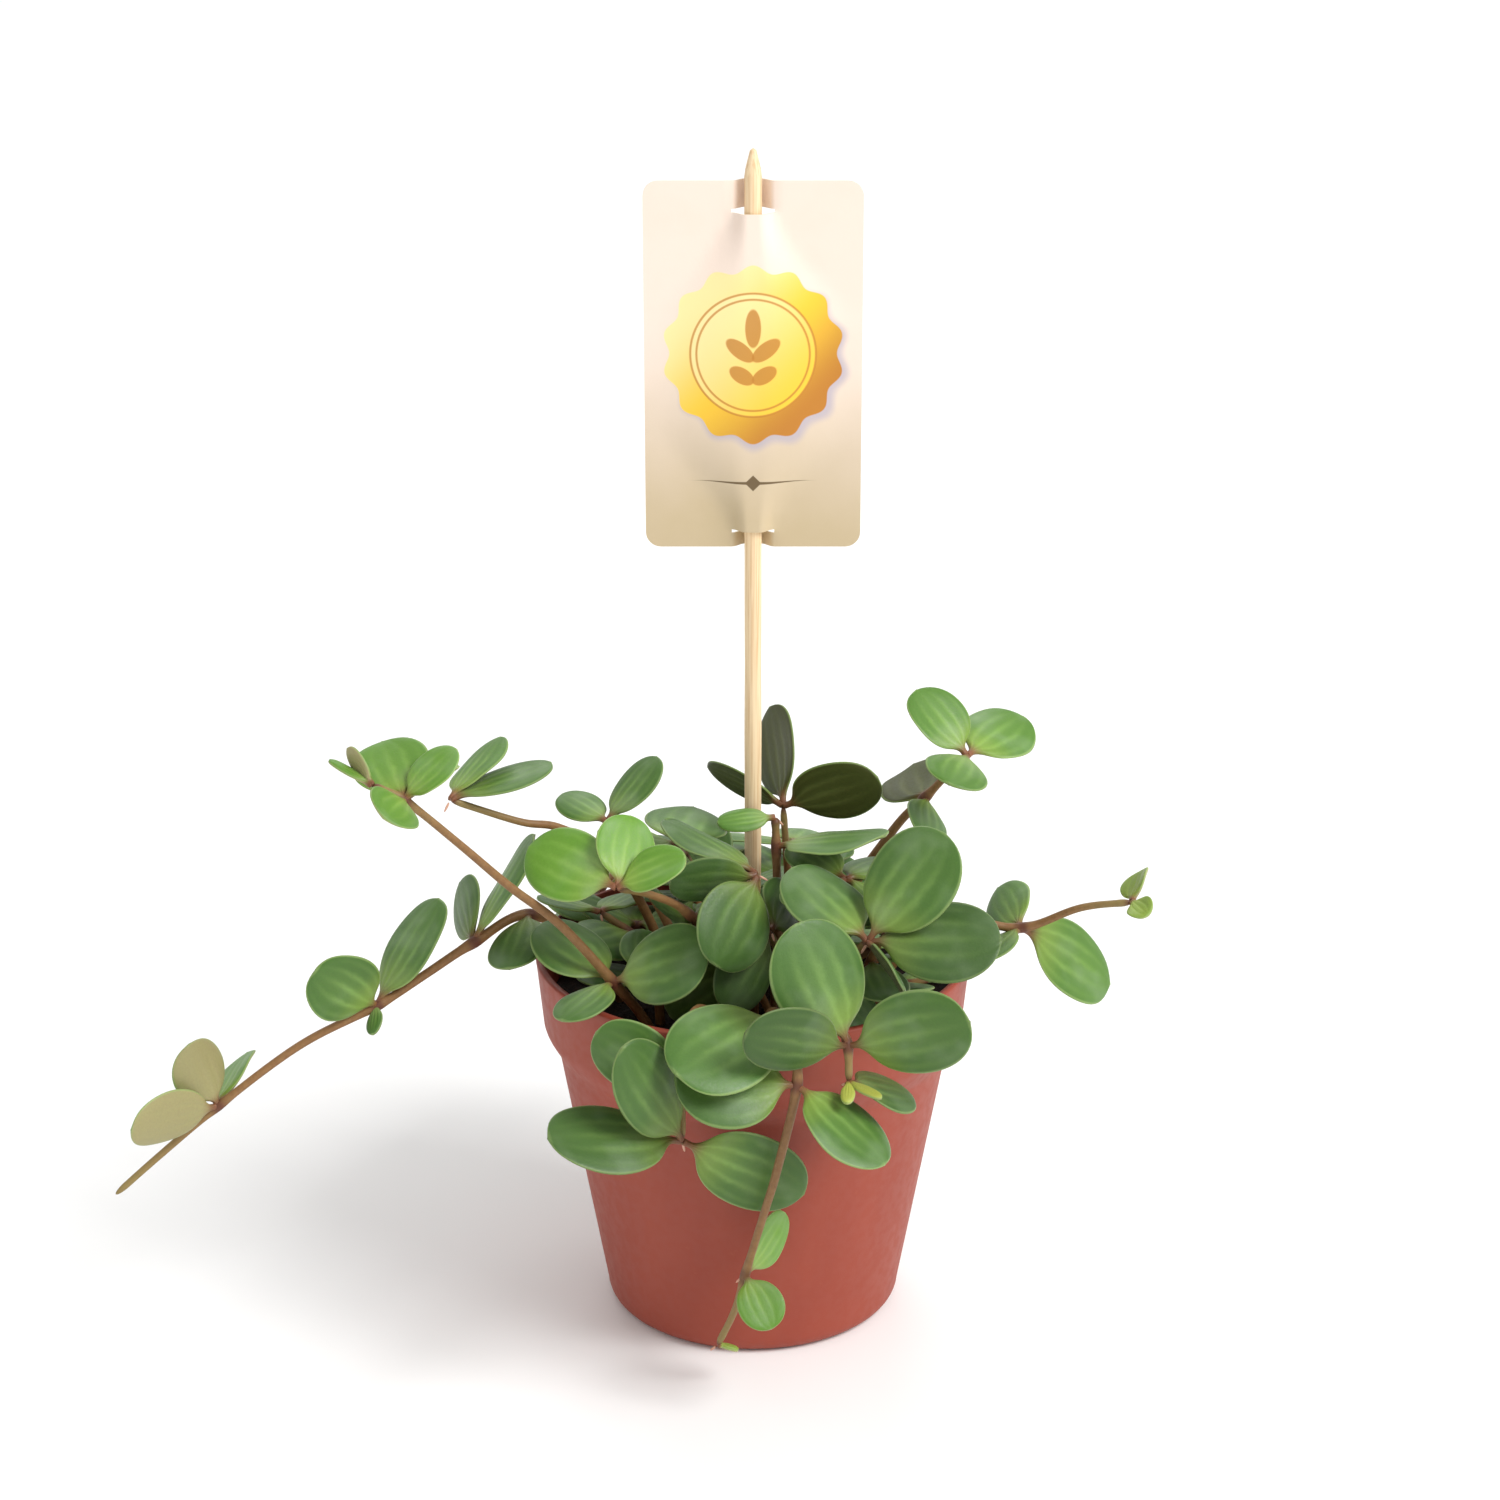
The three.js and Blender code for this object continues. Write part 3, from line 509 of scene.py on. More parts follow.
def turn_rings(reach: int) -> list[np.ndarray]:
    """Lists small turns of a leaf to try, ring by ring, the smallest first.

    Args:
        reach: the largest turn, in degrees.

    Returns:
        For each ring, one row of extra heading, rise and roll for each way.
    """
    ways = np.array([(0, 1, 0), (0, -1, 0), (1, 0, 0), (-1, 0, 0), (0, 0, 1), (0, 0, -1),
                     (1, 1, 0), (-1, 1, 0), (1, -1, 0), (-1, -1, 0), (1, 0, 1), (-1, 0, -1),
                     (0, 1, 1), (0, -1, -1)])
    return [np.zeros((1, 3))] + [ways * size for size in range(5, reach + 1, 5)]


@dataclass
class Twig:
    """A stem's run, as points close enough together to feel for neighbours."""

    at: np.ndarray
    radius: np.ndarray
    low: np.ndarray
    high: np.ndarray

    @classmethod
    def along(cls, stem: Stem) -> "Twig":
        """Spreads points along a stem."""
        count = math.ceil(route_length(stem.route) / ROOM.twig_step)
        share = np.arange(count + 1) / count
        at = route_points(stem.route, share)
        return cls(at, mix(TWIG_ROOT, TWIG_TIP, share), at.min(0), at.max(0))

    def clear_of(self, centre: np.ndarray, reach: float) -> bool:
        """Tells whether the stem's box is further than a reach from a place."""
        return bool(((centre < self.low - reach) | (centre > self.high + reach)).any())


class Thicket:
    """What has been planted so far, and whether something new finds room beside it."""

    def __init__(self) -> None:
        """Starts with nothing planted."""
        self.leaves: list[Leaf] = []
        self.twigs: list[Twig] = []

    def leaf_blocked(self, leaf: Leaf, own: Twig) -> np.ndarray:
        """Tells in which of its turns a leaf is too close to the pot, a stem or another leaf.

        Args:
            leaf: the leaf in its turns.
            own: the stem it grows on, which it may touch near its node.

        Returns:
            One truth value for each turn.
        """
        blocked = touches_holder(leaf.samples, ROOM.beside_holder).any(1)
        for twig in self.twigs:
            if twig.clear_of(leaf.node, leaf.length + ROOM.near_node):
                continue
            hit = leaf.touched(twig.at, twig.radius + ROOM.beside_twig, twig.radius)
            if twig is own:
                hit &= (distances(twig.at, leaf.node) >= ROOM.near_node)[:, None]
            blocked |= hit.any(0)
        for other in self.leaves:
            if blocked.all():
                break
            reach = (leaf.length + other.length) / 2 + ROOM.leaf_reach
            if math.dist(other.centre, leaf.node) > reach + leaf.length:
                continue
            mine, theirs = leaf.samples, other.samples
            hit = other.touched(mine, ROOM.leaf_apart, ROOM.edge)
            hit_back = leaf.touched(theirs, ROOM.leaf_apart, ROOM.edge)
            if math.dist(other.node, leaf.node) < 1:
                hit &= distances(mine, leaf.node) >= ROOM.near_sibling
                hit_back &= (distances(theirs, leaf.node) >= ROOM.near_sibling)[:, None]
            near = distances(leaf.centre, other.centre) <= reach
            blocked |= near & (hit.any(1) | hit_back.any(0))
        return blocked

    def twig_fits(self, twig: Twig) -> bool:
        """Tells whether a stem is clear of the pot, the leaves and the other stems."""
        r = np.hypot(twig.at[:, 0], twig.at[:, 1])
        inner = pot_outer(twig.at[:, 2]) - POT.wall
        rooted = (twig.at[:, 2] < SOIL_TOP + ROOM.rooted) & (r < inner - ROOM.root_wall)
        if (~rooted & touches_holder(twig.at, twig.radius + ROOM.twig_skin)).any():
            return False
        reach = ROOM.twig_apart
        for other in self.twigs:
            if ((twig.high < other.low - reach) | (twig.low > other.high + reach)).any():
                continue
            if (distances(twig.at[:, None], other.at) < reach).any():
                return False
        room = twig.radius + ROOM.beside_twig
        return not any(leaf.touched(twig.at, room, twig.radius).any() for leaf in self.leaves
                       if not twig.clear_of(leaf.centre, leaf.length))

    def add_leaf(self, own: Twig, node: np.ndarray, spec: LeafSpec, youth_and_shade: float, reach: int,
                 allowed: Callable[[np.ndarray], np.ndarray]) -> Leaf | None:
        """Plants a leaf, turned as little as it takes to clear its neighbours.

        Args:
            own: the stem it grows on.
            node: where on the stem.
            spec: its pose and size before turning.
            youth_and_shade: how young it is, and below 0 how much painted shade darkens it.
            reach: the largest turn to try, in degrees.
            allowed: whether a leaf may show at some points, for each turn.

        Returns:
            The leaf, or None if it finds no room.
        """
        for turns in turn_rings(reach):
            leaf = Leaf.turned(node, spec, turns, youth_and_shade)
            free = allowed(leaf.samples)
            if free.any():
                free &= ~self.leaf_blocked(leaf, own)
            if free.any():
                self.leaves.append(leaf.pick(int(np.argmax(free))))
                return self.leaves[-1]
        return None


# ---------------------------------------------------------------- the rest of the bush, by rule


def mound_top(x: np.ndarray | float, y: np.ndarray | float) -> np.ndarray | float:
    """Gives the height of the bush's outline: a mound that leans to the front, to the light."""
    return FILL.mound_top - FILL.mound_spread * np.abs(x) - FILL.mound_lean * y


class FrontView:
    """Remembers what the front of the plant shows: nothing drawn by rule grows before it."""

    MIDDLE: ClassVar[int] = 100  # cells from the view's edge to its middle

    def __init__(self) -> None:
        """Starts with an empty view."""
        self.nearest = np.full((2 * self.MIDDLE, 2 * self.MIDDLE), np.inf)
        tilt = math.radians(FILL.view_elevation)
        self.up = (math.sin(tilt), math.cos(tilt))

    def cells(self, p: np.ndarray) -> tuple[np.ndarray, np.ndarray]:
        """Gives the cell of the view that each point shows in."""
        high = p[..., 1] * self.up[0] + p[..., 2] * self.up[1]
        across, row = (np.floor(part / FILL.view_cell + 0.5).astype(int) + self.MIDDLE
                       for part in (p[..., 0], high))
        return across, row

    def depth(self, p: np.ndarray) -> np.ndarray:
        """Gives how far back each point is."""
        return p[..., 1] * self.up[1] - p[..., 2] * self.up[0]

    def add(self, p: np.ndarray) -> None:
        """Lets points show."""
        np.minimum.at(self.nearest, self.cells(p), self.depth(p))

    def leaves_free(self, p: np.ndarray) -> np.ndarray:
        """Tells whether points all lie within the bush's mound, and behind what shows.

        Args:
            p: the points, or one table of them for each turn of a leaf.

        Returns:
            One truth value, or one for each turn.
        """
        seen = self.nearest[self.cells(p)]
        return ((p[..., 2] < mound_top(p[..., 0], p[..., 1]))
                & (np.abs(p[..., 0]) < FILL.mound_reach)
                & ~(np.isfinite(seen) & (self.depth(p) < seen))).all(-1)


def draw_whorl(stream: Iterator[float], index: int, bearing: float, length: float,
               last: bool) -> Whorl:
    """Draws the leaves of one node.

    Args:
        stream: the seeded numbers.
        index: which point of the route it is.
        bearing: the way the stem leans.
        length: the usual length of its leaves.
        last: whether the node ends the stem.

    Returns:
        The whorl.
    """
    count = 4 if next(stream) < HABIT.four_leaved else 3
    phase = bearing + (0 if last else 180 / count)
    leaves = []
    for i in range(count):
        long = length * mix(*HABIT.leaf_share, next(stream))
        heading = phase + 360 / count * i + mix(*HABIT.heading, next(stream))
        rise, roll = mix(*HABIT.rise, next(stream)), mix(*HABIT.roll, next(stream))
        leaves.append((heading, rise, roll, long, long * mix(*HABIT.width_share, next(stream))))
    return Whorl(index, leaves, HABIT.tip_youth if last else 0.0)


def draw_stem(stream: Iterator[float], trails: bool) -> Stem:
    """Draws a short stem in the crown, or one that trails over the rim behind the pot.

    Args:
        stream: the seeded numbers.
        trails: whether it trails.

    Returns:
        The stem, not yet named.
    """
    bearing = mix(*(HABIT.behind if trails else (0, 360)), next(stream))
    root = mix(*HABIT.root, next(stream))
    reach = (mix(*HABIT.trail_reach, next(stream)) if trails
             else root + mix(*HABIT.crown_reach, next(stream)))
    lean = bearing * (math.pi / 180)
    crown = mound_top(reach * math.cos(lean), reach * math.sin(lean)) - HABIT.under_mound
    low, high = HABIT.crown_peak
    peak = mix(*(HABIT.trail_peak if trails else (low, min(high, crown))), next(stream))
    sway = mix(*HABIT.sway, next(stream))

    def out(radius: float, z: float, turn: float) -> Point:
        """Gives a point of the route by its distance and turn from the stick."""
        angle = (bearing + turn) * (math.pi / 180)
        return radius * math.cos(angle), radius * math.sin(angle), z

    route = [out(root, TWIG_ROOT_Z, 0), out(root + 1, HABIT.neck, 0)]
    if trails:
        drop = mix(*HABIT.drop, next(stream))
        route += [out(mix(root, reach, 0.55), peak, sway / 2),
                  out(reach, mix(drop, peak, 0.6), sway), out(reach + 1, drop, sway)]
    else:
        route += [out(mix(root, reach, 0.5), mix(HABIT.neck, peak, 0.6), sway / 2),
                  out(reach, peak, sway)]
    length = mix(*HABIT.leaf, next(stream))
    whorls = [draw_whorl(stream, i, bearing, length * mix(1, HABIT.least_leaf, (i - 2) / 4),
                         i == len(route) - 1) for i in range(2, len(route))]
    return Stem("", route, whorls)


@dataclass
class Plant:
    """A stem that stands, with the leaves that found room on it."""

    stem: Stem
    leaves: list[Leaf]


def anywhere(points: np.ndarray) -> np.ndarray:
    """Lets a leaf show anywhere, in each of its turns."""
    return np.ones(len(points), bool)


def grow(thicket: Thicket, stem: Stem, own: Twig, reach: int,
         allowed: Callable[[np.ndarray], np.ndarray] = anywhere) -> Plant:
    """Grows a stem's leaves.

    Args:
        thicket: what stands already.
        stem: the stem to grow.
        own: its run.
        reach: the largest turn of a leaf, in degrees.
        allowed: whether a leaf may show at some points.

    Returns:
        The stem with its leaves.
    """
    grown = [thicket.add_leaf(own, np.array(stem.route[whorl.index], float), spec, whorl.youth_and_shade,
                              reach, allowed)
             for whorl in stem.whorls for spec in whorl.leaves]
    return Plant(stem, [leaf for leaf in grown if leaf])


def plant_all() -> list[Plant]:
    """Plants the listed stems, then fills the bush by rule, as the solids do."""
    thicket = Thicket()
    thicket.twigs = [Twig.along(stem) for stem in STEMS]
    plants = [grow(thicket, stem, twig, FILL.hand_reach)
              for stem, twig in zip(STEMS, list(thicket.twigs))]
    front = FrontView()
    for points in [twig.at for twig in thicket.twigs] + [leaf.samples for leaf in thicket.leaves]:
        front.add(points)
    stream = seeded_stream(FILL.seed)
    for draw in range(FILL.draws):
        if len(thicket.leaves) >= FILL.leaves or len(plants) >= len(STEMS) + FILL.stems:
            break
        stem = draw_stem(stream, draw % FILL.trailing_every == 0)
        twig = Twig.along(stem)
        if not (front.leaves_free(twig.at) and thicket.twig_fits(twig)):
            continue
        before = len(thicket.leaves)
        thicket.twigs.append(twig)
        grown = grow(thicket, stem, twig, FILL.rule_reach, front.leaves_free)
        if len(grown.leaves) >= FILL.minimum:
            name = f"stem_bush_{len(plants) - len(STEMS) + 1}"
            plants.append(Plant(Stem(name, stem.route, stem.whorls), grown.leaves))
        else:
            del thicket.leaves[before:]
            thicket.twigs.pop()
    return plants


# ---------------------------------------------------------------- finishes


def srgb(code: str) -> tuple[float, float, float, float]:
    """Turns an sRGB hex colour into linear red, green, blue and alpha."""
    parts = [int(code[i:i + 2], 16) / 255 for i in (1, 3, 5)]
    return (*[c / 12.92 if c <= 0.04045 else ((c + 0.055) / 1.055) ** 2.4 for c in parts], 1.0)


def add_node(tree: bpy.types.NodeTree, kind: str, *inputs: object, named: dict | None = None,
             **settings: object) -> Node:
    """Adds a node to a material, with its settings and links.

    Args:
        tree: the material's node tree.
        kind: the node's type, without its leading ShaderNode.
        inputs: what its inputs get, in their order: a number, a vector, a hex colour, or the
            socket or node that feeds it.
        named: the same for inputs by their names.
        settings: the node's own settings.

    Returns:
        The node.
    """
    node = tree.nodes.new("ShaderNode" + kind)
    for key, value in settings.items():
        setattr(node, key, value)
    shown = [socket for socket in node.inputs if socket.enabled]
    by_name = [(node.inputs[key], value) for key, value in (named or {}).items()]
    for socket, value in [*zip(shown, inputs), *by_name]:
        if isinstance(value, Node):
            value = next(output for output in value.outputs if output.enabled)
        if isinstance(value, Socket):
            tree.links.new(value, socket)
        else:
            socket.default_value = srgb(value) if isinstance(value, str) else value
    return node


def tint(add: AddNode, ground: Node | str, colour: Node | str, pattern: Node | Socket,
         *span: float) -> Node:
    """Lays a colour over another where a pattern says so.

    Args:
        add: adds a node to the material.
        ground: the colour below.
        colour: the colour on top.
        pattern: a number all over the surface.
        span: from which value of the pattern to which the colour comes in, and, where it isn't
            from nothing to full, from how much of it to how much.

    Returns:
        The blended colour.
    """
    share = add("MapRange", pattern, *span, **SMOOTH)
    return add("Mix", share, ground, colour, **COLOUR)


def per_metre(size: float) -> float:
    """Gives the scale of a pattern whose clouds are about a size in millimetres."""
    return 1 / (size * MM)


class Finish:
    """A material that is made of one shader and what feeds it."""

    called: ClassVar[str] = ""

    def build(self) -> Material:
        """Makes the material."""
        material = bpy.data.materials.new(self.called)
        material.use_nodes = True
        material.node_tree.nodes.clear()
        add = partial(add_node, material.node_tree)
        add("OutputMaterial", add("BsdfPrincipled", named=self.surface(add)))
        return material

    def surface(self, add: AddNode) -> dict[str, object]:
        """Gives what the shader's sockets get, by their names."""
        raise NotImplementedError


@dataclass(frozen=True)
class LeafFinish(Finish):
    """Living succulent leaf: a waxy skin over soft flesh, so satin with a pale bloom.

    Darker between broad paler stripes that fan from the stalk and meet again at the tip, with a
    thin pale margin. New leaves are yellow-green and the undersides are olive, darkened further
    with painted shade.

    Attributes:
        dark, stripe: the full-grown leaf between its stripes and on them.
        young_dark, young_stripe, bud: the new leaf, and the newest of all.
        under_dark_shaded, under_stripe_shaded, under_young: the underside; the first two are its
        olive darkened with painted shade.
        margin, heel, stalk: the blade's edge, its foot and the stalk.
        bloom, shine: the wax in patches, and seen aslant.
        mottling, cloud, grain: sizes of the stripes' breaks, the wax's patches and the skin's
            cells, in millimetres; real cells are ten times finer, too fine to show.
        vein_pitch: from vein to vein, as a share of half the blade.
        heart: how strongly the blade's middle pales.
        wander: how far a stripe strays.
        darkest_painted_shade: brightness of the leaves darkened most with painted shade.
        satin: roughness from its smoothest to its roughest.
    """

    called: ClassVar[str] = "living_waxy_leaf"
    dark: str = "#486C2B"
    stripe: str = "#73964A"
    young_dark: str = "#5E8C28"
    young_stripe: str = "#7EA544"
    bud: str = "#A6AC48"
    under_dark_shaded: str = "#454A1C"
    under_stripe_shaded: str = "#646A36"
    under_young: str = "#A8A070"
    margin: str = "#93AA66"
    heel: str = "#8CA444"
    stalk: str = "#7E5034"
    bloom: str = "#8FA680"
    shine: str = "#DCE8E0"
    mottling: float = 3.0
    cloud: float = 9.0
    grain: float = 0.45
    vein_pitch: float = 0.4
    heart: float = 0.42
    wander: float = 0.16
    darkest_painted_shade: float = 0.62
    satin: Range = (0.38, 0.5)

    def surface(self, add: AddNode) -> dict[str, object]:
        """Gives the striped blade, its age, its underside and its wax."""
        place = add("Attribute", attribute_name="blade_place").outputs["Vector"]
        along, across, rim = add("SeparateXYZ", place).outputs
        age_and_shade = add("Attribute", attribute_name="blade_tone").outputs["Vector"]
        youth_and_shade, chance, underside = add("SeparateXYZ", age_and_shade).outputs
        at = add("TexCoord").outputs["Object"]
        mottle = add("TexNoise", at, per_metre(self.mottling), 3.0)
        cloud = add("TexNoise", at, per_metre(self.cloud), 2.0)
        grain = add("TexNoise", at, per_metre(self.grain), 2.0)

        wander = add("Math", mottle, self.wander, -self.wander / 2, **TIMES_PLUS)
        turn = add("Math", add("Math", across, wander, **PLUS), FULL_TURN / self.vein_pitch,
                   **TIMES)
        wave = add("Math", add("Math", turn, operation="COSINE"), 0.5, 0.5, **TIMES_PLUS)
        fade = add("Math", add("MapRange", along, 0.3, 0.95, 1.0, 0.1, **SMOOTH),
                   add("MapRange", rim, 0.6, 0.95, 1.0, 0.0, **SMOOTH), **TIMES)
        stripe = add("Math", add("Math", wave, 2.0, operation="POWER"), fade, **TIMES)
        broad = add("MapRange", add("Math", across, operation="ABSOLUTE"), 0.0, 0.8, self.heart,
                    0.0, **SMOOTH)
        heart = add("Math", broad, add("MapRange", along, 0.1, 0.95, 1.0, 0.2, **SMOOTH), **TIMES)
        lines = add("Math", stripe, add("Math", mottle, 0.9, 0.15, **TIMES_PLUS), **TIMES)
        soft = add("Math", heart, lines, **PLUS)

        # The underside's dark and stripe colours are partly its own olive and partly painted shade,
        # for the shade that undersides lie in.
        grown, young, under_shaded = (add("Mix", soft, *pair, **COLOUR) for pair in (
            (self.dark, self.stripe), (self.young_dark, self.young_stripe),
            (self.under_dark_shaded, self.under_stripe_shaded)))
        upper = tint(add, grown, young, youth_and_shade, 0.0, 0.75)
        upper = tint(add, upper, self.heel, along, 0.02, 0.4, 0.5, 0.0)
        upper = tint(add, upper, self.bud, youth_and_shade, 0.82, 1.0)
        upper = tint(add, upper, self.bloom, cloud, 0.45, 0.75, 0.0, 0.3)
        under_shaded = tint(add, under_shaded, self.under_young, youth_and_shade, 0.2, 0.6)
        colour = add("Mix", underside, upper, under_shaded, **COLOUR)
        colour = tint(add, colour, self.margin, rim, 0.93, 1.0, 0.0, 0.55)
        colour = tint(add, colour, self.stalk, along, 0.08, -0.12)

        tone = add("Math", add("Math", chance, 0.3, 0.85, **TIMES_PLUS),
                   add("Math", grain, 0.2, 0.9, **TIMES_PLUS), **TIMES)
        # Painted shade: where the whorl's number is below zero, this darkens leaves that lie in the
        # shade of others.
        tone = add("Math", tone, add("MapRange", youth_and_shade, -1.0, 0.0, self.darkest_painted_shade, 1.0, **SMOOTH),
                   **TIMES)
        relief = add("Math", add("Math", grain, 0.35, **TIMES), add("Math", stripe, 0.6, **TIMES),
                     **MINUS)
        return {
            "Base Color": add("HueSaturation", named={"Color": colour, "Value": tone}),
            "Roughness": add("MapRange", grain, 0.3, 0.7, *self.satin, **SMOOTH),
            "Normal": add("Bump", named={"Height": relief, "Distance": 0.12 * MM,
                                         "Strength": 0.6}),
            "IOR": 1.42, "Sheen Weight": 0.06, "Sheen Roughness": 0.45,
            "Sheen Tint": self.shine, "Subsurface Weight": 0.12, "Subsurface Scale": 1.2 * MM,
            "Subsurface Radius": (0.5, 1.0, 0.25)}


@dataclass(frozen=True)
class TwigFinish(Finish):
    """Living soft stem: matt skin, tan to greenish, blushed red-brown at its joints.

    Attributes:
        tan, pale: the skin and its streaks.
        joint, green, stub: the joints, the tip and the pegs.
        streak: size of the streaks, in millimetres.
    """

    called: ClassVar[str] = "living_soft_stem"
    tan: str = "#75512F"
    pale: str = "#987348"
    joint: str = "#5C3024"
    green: str = "#908850"
    stub: str = "#D0A088"
    streak: float = 1.1

    def surface(self, add: AddNode) -> dict[str, object]:
        """Gives the streaked skin, its tip, its joints and the pale pegs."""
        place = add("Attribute", attribute_name="twig_place").outputs["Vector"]
        tip, joint, stub = add("SeparateXYZ", place).outputs
        streak = add("TexNoise", add("TexCoord").outputs["Object"], per_metre(self.streak), 4.0)
        colour = add("Mix", streak, self.tan, self.pale, **COLOUR)
        colour = tint(add, colour, self.green, tip, 0.7, 1.0, 0.0, 0.55)
        colour = tint(add, colour, self.joint, joint, 0.2, 0.9, 0.0, 0.85)
        return {
            "Base Color": add("Mix", stub, colour, self.stub, **COLOUR),
            "Normal": add("Bump", named={"Height": streak, "Distance": 0.15 * MM,
                                         "Strength": 0.7}),
            "Roughness": 0.5, "IOR": 1.42, "Subsurface Weight": 0.08,
            "Subsurface Scale": 0.8 * MM}


@dataclass(frozen=True)
class PotFinish(Finish):
    """Injection-moulded polypropylene, dyed terracotta: satin, with faint flow marks and dust.

    Attributes:
        base, deep: the plastic in its flow marks' pale and dark parts.
        dust: peat dust that clings to it.
        flow, speck: sizes of the flow marks and the specks of dust, in millimetres.
        grit: size of the mould's grain; the real one is finer, too fine to show.
    """

    called: ClassVar[str] = "moulded_polypropylene_terracotta"
    base: str = "#9E442E"
    deep: str = "#903A28"
    dust: str = "#A85C49"
    flow: float = 9.0
    speck: float = 2.2
    grit: float = 0.25

    def surface(self, add: AddNode) -> dict[str, object]:
        """Gives the plastic with its flow marks, drawn out upwards, and specks of dust."""
        at = add("TexCoord").outputs["Object"]
        upright = add("Mapping", named={"Vector": at, "Scale": (1, 1, 0.25)})
        flow = add("TexNoise", upright, per_metre(self.flow), 3.0)
        dust = add("TexNoise", at, per_metre(self.speck), 6.0)
        grit = add("TexNoise", at, per_metre(self.grit), 2.0)
        colour = add("Mix", flow, self.deep, self.base, **COLOUR)
        return {
            "Base Color": tint(add, colour, self.dust, dust, 0.6, 0.85, 0.0, 0.3),
            "Roughness": add("MapRange", dust, 0.3, 0.8, 0.5, 0.65, **SMOOTH),
            "Normal": add("Bump", named={"Height": grit, "Distance": 0.03 * MM,
                                         "Strength": 0.5}),
            "IOR": 1.49}


@dataclass(frozen=True)
class PeatFinish(Finish):
    """Damp peat with fibres: nearly black-brown, matt, with paler crumbs.

    Attributes:
        wet, dry: the ground and its crumbs.
        crumb, fibre: their sizes, in millimetres; the fibres lie along one way.
    """

    called: ClassVar[str] = "potting_peat"
    wet: str = "#1D1511"
    dry: str = "#4A3527"
    crumb: float = 1.6
    fibre: float = 0.5

    def surface(self, add: AddNode) -> dict[str, object]:
        """Gives the dark ground with its paler crumbs and fibres."""
        at = add("TexCoord").outputs["Object"]
        crumb = add("TexNoise", at, per_metre(self.crumb), 6.0)
        lying = add("Mapping", named={"Vector": at, "Scale": (1, 3, 3)})
        fibre = add("TexNoise", lying, per_metre(self.fibre), 4.0)
        share = add("Math", add("MapRange", crumb, 0.35, 0.75, **SMOOTH),
                    add("MapRange", fibre, 0.3, 0.7, **SMOOTH), **TIMES)
        relief = add("Math", crumb, fibre, **PLUS)
        return {
            "Base Color": add("Mix", share, self.wet, self.dry, **COLOUR),
            "Normal": add("Bump", named={"Height": relief, "Distance": 0.6 * MM,
                                         "Strength": 0.8}),
            "Roughness": 0.92, "IOR": 1.4}


@dataclass(frozen=True)
class WoodFinish(Finish):
    """Turned bamboo splint: pale, dry, with straight fibres along the stick.

    Attributes:
        light, dark: the wood and its fibres.
        fibre, bundle: widths of one fibre, drawn coarse enough to show, and of a bundle.
    """

    called: ClassVar[str] = "turned_bamboo"
    light: str = "#F2D8B0"
    dark: str = "#DAB486"
    fibre: float = 0.35
    bundle: float = 1.2

    def surface(self, add: AddNode) -> dict[str, object]:
        """Gives the pale wood with its fibres, single and in bundles."""
        at = add("TexCoord").outputs["Object"]
        fine = add("Mapping", named={"Vector": at, "Scale": (1, 1, 0.02)})
        fibre = add("TexNoise", fine, per_metre(self.fibre), 4.0)
        broad = add("Mapping", named={"Vector": at, "Scale": (1, 1, 0.06)})
        bundle = add("TexNoise", broad, per_metre(self.bundle), 2.0)
        share = add("Math", add("MapRange", fibre, 0.35, 0.7, **SMOOTH),
                    add("Math", bundle, 0.35, **PLUS), **TIMES)
        return {
            "Base Color": add("Mix", share, self.light, self.dark, **COLOUR),
            "Normal": add("Bump", named={"Height": fibre, "Distance": 0.06 * MM,
                                         "Strength": 0.6}),
            "Roughness": 0.62, "IOR": 1.5}


